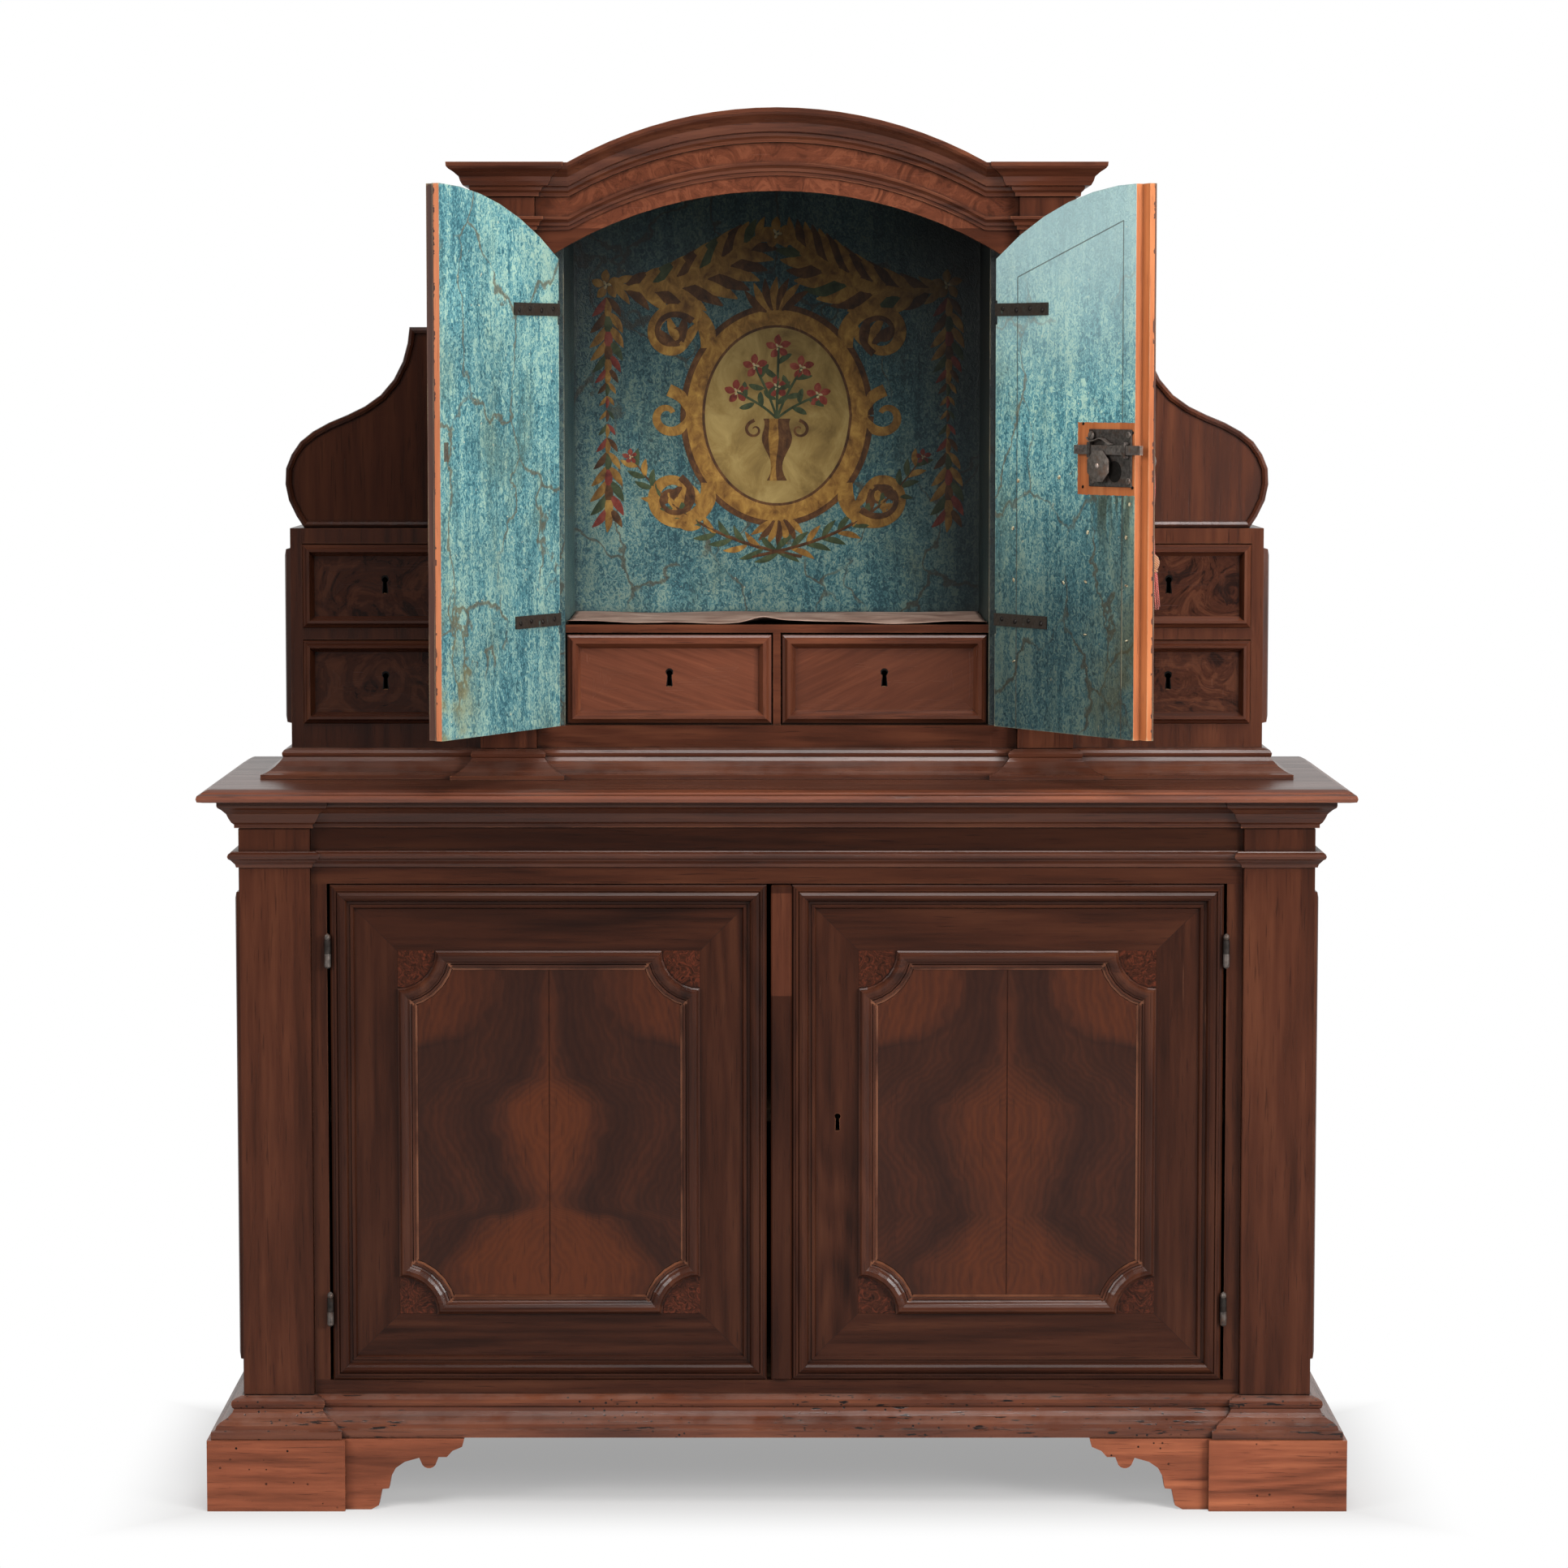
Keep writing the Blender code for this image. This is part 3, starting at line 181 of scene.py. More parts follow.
def burl_effect():
    """Root walnut: swirling clouds and eyes with no direction."""
    g, i, o = effect("walnut_burl", [("Vector", "Vector", None), ("Scale", "Float", 14.0)],
                     [("Tone", "Float"), ("Height", "Float")])
    warp = add(g, "TexNoise", {"Vector": i["Vector"], "Scale": calc(g, "MULTIPLY", i["Scale"], 0.55),
                               "Detail": 2.0}).outputs["Color"]
    moved = add(g, "VectorMath", {0: i["Vector"], 1: warp}, operation="MULTIPLY_ADD")
    put(g, warp, moved.inputs[0])
    put(g, (0.16, 0.16, 0.16), moved.inputs[1])
    put(g, i["Vector"], moved.inputs[2])
    swirl = noise(g, moved.outputs[0], i["Scale"], 5, 0.62, 1.2)
    rings = calc(g, "MULTIPLY_ADD", calc(g, "SINE", calc(g, "MULTIPLY", swirl, 46.0)), 0.5)
    rings.node.inputs[2].default_value = 0.5
    fleck = noise(g, moved.outputs[0], calc(g, "MULTIPLY", i["Scale"], 9.0), 3, 0.6)
    tone = calc(g, "ADD", calc(g, "MULTIPLY", swirl, 0.72), calc(g, "MULTIPLY", rings, 0.05))
    tone = calc(g, "ADD", tone, calc(g, "MULTIPLY", fleck, 0.23))
    put(g, tone, o["Tone"])
    put(g, fleck, o["Height"])
    return g


def age_effect():
    """Dirt and painted shade in the hollows and where parts come close, rubbed arrises with painted highlight, and
    knocks and scratches of long use.
    """
    g, i, o = effect("age", [("Vector", "Vector", None), ("Reach", "Float", 0.012)],
                     [("DirtAndShade", "Float"), ("RubAndGlint", "Float"), ("Stain", "Float"), ("Scratch", "Float")])
    # ambient occlusion: dirt and painted shade in the hollows and where other parts come near
    hollow_shade = add(g, "AmbientOcclusion", {"Distance": i["Reach"]}, samples=6, only_local=False).outputs["AO"]
    # occlusion inside the arrises: rubbed wear and a painted highlight along the edges
    arris = add(g, "AmbientOcclusion", {"Distance": calc(g, "MULTIPLY", i["Reach"], 0.25)}, samples=6, inside=True,
                only_local=True).outputs["AO"]
    patch = noise(g, i["Vector"], 9, 4, 0.6)
    put(g, between(g, calc(g, "SUBTRACT", 1.0, hollow_shade), 0.22, 0.70), o["DirtAndShade"])
    rub_and_glint = calc(g, "MULTIPLY", between(g, calc(g, "SUBTRACT", 1.0, arris), 0.36, 0.74), between(g, patch, 0.34, 0.60))
    put(g, rub_and_glint, o["RubAndGlint"])
    put(g, between(g, noise(g, i["Vector"], 3.2, 5, 0.62), 0.35, 0.70), o["Stain"])
    thin = noise(g, stretch(g, i["Vector"], (90, 90, 4), turn=(0.3, 0.7, 0.2)), 1.0, 2, 0.5)
    put(g, calc(g, "MULTIPLY", between(g, thin, 0.74, 0.78), between(g, patch, 0.5, 0.7)), o["Scratch"])
    return g


def worm_effect():
    """Flight holes of woodworm, thick in some stretches, with eaten channels where they spread most."""
    g, i, o = effect("worm_holes", [("Vector", "Vector", None), ("Spread", "Float", 0.5)], [("Hole", "Float")])
    spots = add(g, "TexVoronoi", {"Vector": i["Vector"], "Scale": 95.0, "Randomness": 1.0})
    dots = between(g, spots.outputs["Distance"], 0.20, 0.13)
    keep = between(g, split(g, spots.outputs["Color"])[0], calc(g, "SUBTRACT", 1.0, i["Spread"]),
                   calc(g, "SUBTRACT", 1.04, i["Spread"]))
    where = between(g, noise(g, i["Vector"], 5.5, 3, 0.6), 0.50, 0.60)
    holes = calc(g, "MULTIPLY", calc(g, "MULTIPLY", dots, keep), where)
    ditch = between(g, noise(g, stretch(g, i["Vector"], (22, 90, 150)), 1.0, 3, 0.6), 0.60, 0.64)
    eaten = calc(g, "MULTIPLY", between(g, noise(g, i["Vector"], 3.4, 3, 0.6), 0.50, 0.56), between(g, i["Spread"], 0.5, 0.9))
    put(g, calc(g, "MAXIMUM", holes, calc(g, "MULTIPLY", ditch, eaten)), o["Hole"])
    return g


def brushed_effect():
    """Distemper laid on with a coarse brush, up and down, in lumpy streaks."""
    g, i, o = effect("brushed_paint", [("Vector", "Vector", None)],
                     [("Tone", "Float"), ("Height", "Float"), ("Chip", "Float")])
    streak = noise(g, stretch(g, i["Vector"], (1, 1, 0.14)), 62, 5, 0.62, 0.3)
    dab = between(g, noise(g, stretch(g, i["Vector"], (1, 1, 0.75)), 165, 4, 0.68, 1.6), 0.30, 0.70)
    cloud = noise(g, stretch(g, i["Vector"], (1, 1, 0.6)), 6.5, 5, 0.6, 0.4)
    tone = calc(g, "ADD", calc(g, "MULTIPLY", streak, 0.40), calc(g, "MULTIPLY", dab, 0.28))
    tone = calc(g, "ADD", tone, calc(g, "MULTIPLY", cloud, 0.32))
    put(g, tone, o["Tone"])
    put(g, calc(g, "ADD", calc(g, "MULTIPLY", dab, 0.7), calc(g, "MULTIPLY", streak, 0.5)), o["Height"])
    put(g, between(g, noise(g, i["Vector"], 130, 2, 0.5), 0.735, 0.755), o["Chip"])
    return g


def vein_effect():
    """Wandering painted marble veins that thin out and break off."""
    g, i, o = effect("marble_veins", [("Vector", "Vector", None), ("Scale", "Float", 5.5)], [("Vein", "Float")])
    warp = add(g, "TexNoise", {"Vector": i["Vector"], "Scale": 16.0, "Detail": 4.0}).outputs["Color"]
    bent = add(g, "VectorMath", operation="MULTIPLY_ADD")
    put(g, warp, bent.inputs[0])
    put(g, (0.085, 0.085, 0.085), bent.inputs[1])
    put(g, i["Vector"], bent.inputs[2])
    cells = add(g, "TexVoronoi", {"Vector": stretch(g, bent.outputs[0], (1.25, 1.0, 0.8)), "Scale": i["Scale"]},
                feature="DISTANCE_TO_EDGE")
    wide = calc(g, "MULTIPLY", noise(g, i["Vector"], 24, 3, 0.6), 0.034)
    line = between(g, cells.outputs[0], wide, calc(g, "MULTIPLY", wide, 0.25))
    gate = between(g, noise(g, i["Vector"], 6.0, 3, 0.55), 0.38, 0.50)
    put(g, calc(g, "MULTIPLY", line, gate), o["Vein"])
    return g


GRAIN = grain_effect()
BURL = burl_effect()
AGE = age_effect()
WORM = worm_effect()
BRUSHED = brushed_effect()
VEINS = vein_effect()


# Finishes
DARK = (0.0165, 0.0053, 0.0031)
BROWN = (0.062, 0.0182, 0.0090)
WARM = (0.112, 0.0365, 0.0172)
# Next: a near-black for dirt, worm holes, joints and painted shade in hollows, and a light red for wear, scratches and
# painted highlights on arrises
DIRT_AND_SHADE = (0.0085, 0.0048, 0.0040)
RUBBED_AND_GLINT = (0.250, 0.098, 0.050)
BARE = (0.47, 0.165, 0.062)
# pale grey-brown for settled dust and painted top light on upward faces
DUST_AND_TOPLIGHT = (0.30, 0.235, 0.205)


def finish(name, rough=0.5, metal=0.0, specular=0.13, coat_weight=0.0):
    """New material; returns it, its tree, its shader and the object coordinates."""
    mat = bpy.data.materials.new(name)
    mat.use_nodes = True
    tree = mat.node_tree
    shader = tree.nodes["Principled BSDF"]
    shader.inputs["Roughness"].default_value = rough
    shader.inputs["Metallic"].default_value = metal
    shader.inputs["Specular IOR Level"].default_value = specular
    shader.inputs["Coat Weight"].default_value = coat_weight
    shader.inputs["Coat Roughness"].default_value = 0.35
    return mat, tree, shader, object_place(tree)


def dress(tree, shader, colour, rough, height, strength=0.12, depth=0.0006):
    put(tree, colour, shader.inputs["Base Color"])
    put(tree, rough, shader.inputs["Roughness"])
    bump = add(tree, "Bump", {"Height": height, "Strength": strength, "Distance": depth})
    put(tree, bump.outputs[0], shader.inputs["Normal"])


def pick(tree, mask, a, b):
    """One vector or the other, by a mask."""
    n = tree.nodes.new("ShaderNodeMix")
    n.data_type = "VECTOR"
    put(tree, mask, n.inputs[0])
    put(tree, a, n.inputs[4])
    put(tree, b, n.inputs[5])
    return n.outputs[1]


def upright(tree, place):
    return place


def across(tree, place):
    x, y, z = split(tree, place)
    return join(tree, y, z, x)


def back_to_front(tree, place):
    x, y, z = split(tree, place)
    return join(tree, z, x, y)


def wrapped(tree, place):
    """Boards that run along the front and return along the sides."""
    facing = add(tree, "TexCoord").outputs["Normal"]
    nx, ny, nz = split(tree, facing)
    side = calc(tree, "GREATER_THAN", calc(tree, "ABSOLUTE", nx), calc(tree, "ABSOLUTE", ny))
    return pick(tree, side, across(tree, place), back_to_front(tree, place))


def mitred(low, high):
    """Frame of four pieces, cut at 45 degrees in its corners; low and high are its corners in x and z."""
    def lay(tree, place):
        level = lies_level(tree, place, low, high)
        return pick(tree, level, place, across(tree, place))
    return lay


def lies_level(tree, place, low, high):
    x, y, z = split(tree, place)
    dx = calc(tree, "ABSOLUTE", calc(tree, "SUBTRACT", x, (low[0] + high[0]) / 2))
    dz = calc(tree, "ABSOLUTE", calc(tree, "SUBTRACT", z, (low[2] + high[2]) / 2))
    dx = calc(tree, "SUBTRACT", dx, (high[0] - low[0]) / 2)
    dz = calc(tree, "SUBTRACT", dz, (high[2] - low[2]) / 2)
    return calc(tree, "GREATER_THAN", dz, dx)


def shades(tone):
    """Walnut colours from dark streak to light sapwood, lightened by tone."""
    return [tuple(c * tone for c in colour) for colour in (DARK, BROWN, WARM)]


def aged(tree, place, colour, rough, reach=0.012, dirt_and_shade=0.75, rub_and_glint=0.55, stain=0.22):
    """Lay stains, dirt with painted shade in the hollows, and rubbed arrises with painted highlight over a wood
    colour.
    """
    old = use(tree, AGE, {"Vector": place, "Reach": reach})
    colour = blend(tree, calc(tree, "MULTIPLY", old["Stain"], stain), colour, (*DARK, 1))
    colour = blend(tree, calc(tree, "MULTIPLY", old["RubAndGlint"], rub_and_glint), colour, (*RUBBED_AND_GLINT, 1))
    colour = blend(tree, calc(tree, "MULTIPLY", old["DirtAndShade"], dirt_and_shade), colour, (*DIRT_AND_SHADE, 1))
    colour = blend(tree, calc(tree, "MULTIPLY", old["Scratch"], 0.35), colour, (*RUBBED_AND_GLINT, 1))
    rough = calc(tree, "ADD", rough, calc(tree, "MULTIPLY", old["DirtAndShade"], 0.22))
    return colour, calc(tree, "SUBTRACT", rough, calc(tree, "MULTIPLY", old["RubAndGlint"], 0.10))


def wood_colour(tree, vector, tone, figure, lines, rough):
    """Colour, roughness and height of sawn walnut."""
    wood = use(tree, GRAIN, {"Vector": vector, "Figure": figure, "Lines": lines})
    low, mid, high = shades(tone)
    colour = ramp(tree, wood["Tone"], [(0.29, low), (0.50, mid), (0.73, high)])
    colour = blend(tree, calc(tree, "MULTIPLY", wood["Pores"], 0.55), colour, (*low, 1))
    return colour, between(tree, wood["Tone"], 0.3, 0.7, rough + 0.05, rough - 0.03), wood["Height"]


def burl_colour(tree, vector, tone, scale, red=1.0):
    wood = use(tree, BURL, {"Vector": vector, "Scale": scale})
    low, mid, high = shades(tone)
    high = (high[0] * red, high[1], high[2])
    return ramp(tree, wood["Tone"], [(0.38, low), (0.50, mid), (0.63, high)]), wood["Height"]


def walnut(name, lay=upright, tone=1.0, figure=2.0, lines=24.0, worm=0.0, rough=0.25, rub_and_glint=0.55, dirt_and_shade=0.75,
           move=(0, 0, 0), dust_and_toplight=0.0, iron_where=None, patch=None, shine=0.13, top=1.0):
    """Waxed solid walnut; lay turns its fibres, iron_where masks forged iron fused to the same piece."""
    mat, tree, shader, place = finish(name, rough, specular=shine)
    vector = stretch(tree, lay(tree, place), (1, 1, 1), move)
    colour, level, height = wood_colour(tree, vector, tone, figure, lines, rough)
    if patch:
        new, low, high = patch
        z = split(tree, place)[2]
        here = calc(tree, "MULTIPLY", calc(tree, "GREATER_THAN", z, low), calc(tree, "LESS_THAN", z, high))
        lighter = blend(tree, 1.0, colour, (new, new, new, 1), "MULTIPLY")
        colour = blend(tree, here, colour, lighter)
    colour, level = aged(tree, place, colour, level, dirt_and_shade=dirt_and_shade, rub_and_glint=rub_and_glint)
    if worm:
        holes = use(tree, WORM, {"Vector": place, "Spread": worm})["Hole"]
        colour = blend(tree, holes, colour, (*DIRT_AND_SHADE, 1))
        height = calc(tree, "SUBTRACT", height, calc(tree, "MULTIPLY", holes, 3.0))
    # painted shade: faces turned up are darkened by the factor top
    if top < 1.0:
        nz = split(tree, add(tree, "TexCoord").outputs["Normal"])[2]
        painted_top_shade = between(tree, nz, 0.80, 0.97, 1.0, top)
        colour = blend(tree, 1.0, colour, join(tree, painted_top_shade, painted_top_shade, painted_top_shade), "MULTIPLY")
    # upward faces lightened: settled dust and painted top light
    if dust_and_toplight:
        nz = split(tree, add(tree, "TexCoord").outputs["Normal"])[2]
        settled_and_lit = calc(tree, "MULTIPLY", between(tree, nz, 0.25, 0.95), dust_and_toplight)
        settled_and_lit = calc(tree, "MULTIPLY", settled_and_lit, between(tree, noise(tree, place, 22, 4, 0.6), 0.3, 0.65))
        colour = blend(tree, settled_and_lit, colour, (*DUST_AND_TOPLIGHT, 1))
    if iron_where:
        metal = iron_where(tree, place)
        tint, iron_level, lumps = iron_colour(tree, place)
        colour = blend(tree, metal, colour, tint)
        put(tree, calc(tree, "MULTIPLY", metal, 0.65), shader.inputs["Metallic"])
        level = calc(tree, "ADD", calc(tree, "MULTIPLY", level, calc(tree, "SUBTRACT", 1.0, metal)),
                     calc(tree, "MULTIPLY", iron_level, metal))
    dress(tree, shader, colour, level, height, 0.16, 0.0008)
    return mat


def burl(name, tone=1.0, scale=14.0, rough=0.25, red=1.0):
    """Sawn root veneer, let in flush."""
    mat, tree, shader, place = finish(name, rough)
    colour, height = burl_colour(tree, place, tone, scale, red)
    colour, level = aged(tree, place, colour, rough, rub_and_glint=0.0)
    dress(tree, shader, colour, level, height, 0.05, 0.0004)
    return mat


def arch_wood(name, tone, burl_tone):
    """Head of the tabernacle: root veneer in the arched frieze, plain walnut in the rail and spandrels below."""
    mat, tree, shader, place = finish(name, 0.25)
    colour, level, height = wood_colour(tree, across(tree, place), tone, 2.6, 26.0, 0.25)
    root, lumps = burl_colour(tree, place, burl_tone, 12.0)
    root = blend(tree, 0.45, root, (*shades(burl_tone)[1], 1))
    colour = blend(tree, calc(tree, "GREATER_THAN", split(tree, place)[2], 1.85), colour, root)
    colour, level = aged(tree, place, colour, level, rub_and_glint=0.4)
    dress(tree, shader, colour, level, height, 0.08, 0.0005)
    return mat


def bookmatched(name, seam, widths, heart_gain, shoulder, tone=1.0):
    """Two boards opened like a book: a warm heart along the seam, its outline repeated outwards in growth lines.

    widths gives the half width of the heart by height, shoulder that of the dark throat at the top.
    """
    mat, tree, shader, place = finish(name, 0.25)
    x, y, z = split(tree, place)
    half = calc(tree, "ABSOLUTE", calc(tree, "SUBTRACT", x, seam))
    sheet = join(tree, half, y, z)
    half = calc(tree, "ADD", half, calc(tree, "MULTIPLY", calc(tree, "SUBTRACT", noise(tree, sheet, 11, 3), 0.5), 0.060))
    drift = noise(tree, stretch(tree, sheet, (1, 1, 1), (3, 0, 1)), 7, 3)
    level = calc(tree, "ADD", z, calc(tree, "MULTIPLY", calc(tree, "SUBTRACT", drift, 0.5), 0.045))
    low, high = widths[0][0], widths[-1][0]
    up = calc(tree, "DIVIDE", calc(tree, "SUBTRACT", level, low), high - low)
    width = ramp(tree, up, [((at - low) / (high - low), (wide * 5,) * 3) for at, wide in widths])
    out = calc(tree, "SUBTRACT", half, calc(tree, "MULTIPLY", width, 0.2))
    heart = calc(tree, "MULTIPLY", between(tree, out, 0.020, -0.056), heart_gain)
    rim = calc(tree, "MULTIPLY", between(tree, out, -0.002, 0.008), between(tree, out, 0.050, 0.012))
    band = between(tree, calc(tree, "ABSOLUTE", calc(tree, "SUBTRACT", out, 0.072)), 0.030, 0.004)
    drop = calc(tree, "MAXIMUM", calc(tree, "SUBTRACT", 0.777, level), 0.0)
    bend = calc(tree, "MULTIPLY", calc(tree, "POWER", calc(tree, "DIVIDE", drop, 0.113), 10.0), 0.085)
    bend = calc(tree, "ADD", bend, calc(tree, "MULTIPLY", calc(tree, "MULTIPLY", drop, drop), 4.0))
    past = calc(tree, "SUBTRACT", calc(tree, "SUBTRACT", half, bend), shoulder)
    patch = between(tree, past, -0.008, 0.050)
    throat = calc(tree, "MULTIPLY", between(tree, past, -0.032, -0.008), between(tree, past, 0.004, -0.004))
    fine = noise(tree, stretch(tree, sheet, (1.3, 1, 0.35)), 46, 4, 0.6, 0.6)
    wave = calc(tree, "ADD", calc(tree, "MULTIPLY", out, 520.0), calc(tree, "MULTIPLY", fine, 9.0))
    lines = calc(tree, "SINE", wave)
    cloud = noise(tree, stretch(tree, sheet, (1, 1, 0.6)), 9, 4, 0.6, 0.6)
    shade = calc(tree, "ADD", calc(tree, "MULTIPLY", cloud, 0.16), 0.25)
    for part, weight in ((heart, 0.33), (patch, 0.21), (band, 0.06), (rim, -0.07), (throat, -0.05), (lines, 0.034),
                         (calc(tree, "SUBTRACT", fine, 0.5), 0.22)):
        shade = calc(tree, "ADD", shade, calc(tree, "MULTIPLY", part, weight))
    stops = ((0.20, (0.0170, 0.0068, 0.0048)), (0.34, (0.0250, 0.0090, 0.0056)), (0.48, (0.0400, 0.0122, 0.0064)),
             (0.66, (0.0680, 0.0182, 0.0074)))
    dark = tuple(c * tone for c in stops[0][1])
    colour = ramp(tree, shade, [(at, tuple(c * tone for c in rgb)) for at, rgb in stops])
    pores = between(tree, noise(tree, stretch(tree, sheet, (1, 1, 0.06)), 380, 2, 0.5), 0.60, 0.72)
    colour = blend(tree, calc(tree, "MULTIPLY", pores, 0.40), colour, (*dark, 1))
    colour, rough = aged(tree, place, colour, 0.26, rub_and_glint=0.0, stain=0.10)
    dress(tree, shader, colour, rough, calc(tree, "SUBTRACT", fine, pores), 0.08, 0.0004)
    return mat


def door_frame(name, low, high, tone=0.85):
    """Lower leaf: mitred moulded edge and mitred veneer round the panel."""
    mat, tree, shader, place = finish(name, 0.25, specular=0.14)
    vector = mitred(low, high)(tree, place)
    colour, level, height = wood_colour(tree, vector, tone, 2.4, 28.0, 0.25)
    x, y, z = split(tree, place)
    dx = calc(tree, "SUBTRACT", calc(tree, "ABSOLUTE", calc(tree, "SUBTRACT", x, (low[0] + high[0]) / 2)),
              (high[0] - low[0]) / 2)
    dz = calc(tree, "SUBTRACT", calc(tree, "ABSOLUTE", calc(tree, "SUBTRACT", z, (low[2] + high[2]) / 2)),
              (high[2] - low[2]) / 2)
    joint = calc(tree, "ABSOLUTE", calc(tree, "SUBTRACT", dx, dz))
    colour = blend(tree, calc(tree, "MULTIPLY", between(tree, joint, 0.0007, 0.0003), 0.7), colour, (*DIRT_AND_SHADE, 1))
    inside = calc(tree, "GREATER_THAN", y, -0.1622)
    colour, level = aged(tree, place, colour, level, rub_and_glint=0.85)
    board = use(tree, GRAIN, {"Vector": place, "Figure": 3.0, "Lines": 16.0})["Tone"]
    sawn = ramp(tree, board, [(0.32, (0.034, 0.015, 0.008)), (0.5, (0.082, 0.039, 0.020)), (0.7, (0.135, 0.072, 0.040))])
    dress(tree, shader, blend(tree, inside, colour, sawn), level, height, 0.14, 0.0007)
    return mat


def drawer_wood(name, low, high, field, tone, burl_tone, scale, depth, slant=None, shine=0.13):
    """Drawer: mitred moulding round a field of root or slanting figure, plain pale wood behind the front."""
    mat, tree, shader, place = finish(name, 0.25, specular=shine)
    vector = mitred(low, high)(tree, place)
    colour, level, height = wood_colour(tree, vector, tone, 2.6, 26.0, 0.25)
    x, y, z = split(tree, place)
    if slant:
        turned = stretch(tree, place, (2.4, 1, 5.0), turn=(0, slant, 0))
        figured, sheen, lumps = wood_colour(tree, turned, burl_tone, 4.0, 11.0, 0.34)
        plain = tuple(c * burl_tone for c in BROWN)
        figured = blend(tree, 0.55, figured, (*plain, 1))
    else:
        figured, lumps = burl_colour(tree, place, burl_tone, scale)
    flat = calc(tree, "GREATER_THAN", y, field - 0.0006)
    colour = blend(tree, flat, colour, figured)
    colour, level = aged(tree, place, colour, level, reach=0.008, dirt_and_shade=0.95, rub_and_glint=1.0)
    box_wood = use(tree, GRAIN, {"Vector": back_to_front(tree, place), "Figure": 3.0, "Lines": 12.0})
    pale = ramp(tree, box_wood["Tone"], [(0.3, (0.16, 0.085, 0.042)), (0.5, (0.26, 0.150, 0.078)),
                                         (0.7, (0.34, 0.21, 0.115))])
    inside = calc(tree, "GREATER_THAN", y, depth)
    colour = blend(tree, inside, colour, pale)
    # painted shade of the keyhole's inside
    keyhole_shadow = painted_keyhole_shadow(tree, x, z, (low[0] + high[0]) / 2, (low[2] + high[2]) / 2 + 0.003)
    colour = blend(tree, keyhole_shadow, colour, (0.0015, 0.0012, 0.0010, 1))
    dress(tree, shader, colour, level, height, 0.10, 0.0006)
    return mat


# Painted shade: the dark inside of a keyhole drawn on the face, a little larger than the hole
def painted_keyhole_shadow(tree, x, z, at, high):
    """Black of a keyhole: a round eye over a slot."""
    dx = calc(tree, "ABSOLUTE", calc(tree, "SUBTRACT", x, at))
    dz = calc(tree, "SUBTRACT", z, high)
    up = calc(tree, "SUBTRACT", dz, 0.0075)
    eye = calc(tree, "SQRT", calc(tree, "ADD", calc(tree, "MULTIPLY", dx, dx), calc(tree, "MULTIPLY", up, up)))
    slot = calc(tree, "MULTIPLY", calc(tree, "LESS_THAN", dx, between(tree, dz, -0.014, 0.006, 0.0046, 0.0030)),
                calc(tree, "LESS_THAN", calc(tree, "ABSOLUTE", calc(tree, "ADD", dz, 0.0035)), 0.0100))
    return calc(tree, "MAXIMUM", calc(tree, "LESS_THAN", eye, 0.0056), slot)


def secondary(name, tone=1.0, lay=upright):
    """Unpolished inside and back boards, sawn and darkened by age."""
    mat, tree, shader, place = finish(name, 0.75, specular=0.25)
    wood = use(tree, GRAIN, {"Vector": lay(tree, place), "Figure": 2.2, "Lines": 14.0})
    stops = [(0.3, (0.050, 0.026, 0.014)), (0.5, (0.105, 0.058, 0.031)), (0.72, (0.175, 0.105, 0.060))]
    colour = ramp(tree, wood["Tone"], [(at, tuple(c * tone for c in rgb)) for at, rgb in stops])
    old = use(tree, AGE, {"Vector": place, "Reach": 0.03})
    colour = blend(tree, calc(tree, "MULTIPLY", old["Stain"], 0.35), colour, (0.030, 0.018, 0.012, 1))
    # darker in the hollows: dirt and painted shade
    colour = blend(tree, calc(tree, "MULTIPLY", old["DirtAndShade"], 0.6), colour, (*DIRT_AND_SHADE, 1))
    dress(tree, shader, colour, 0.75, wood["Height"], 0.3, 0.0010)
    return mat


def iron_colour(tree, place):
    lumps = noise(tree, place, 160, 4, 0.6)
    spots = between(tree, noise(tree, place, 60, 5, 0.65), 0.50, 0.68)
    colour = ramp(tree, lumps, [(0.3, (0.040, 0.034, 0.031)), (0.7, (0.150, 0.126, 0.112))])
    colour = blend(tree, calc(tree, "MULTIPLY", spots, 0.55), colour, (0.110, 0.052, 0.030, 1))
    return colour, between(tree, lumps, 0.3, 0.7, 0.62, 0.42), lumps


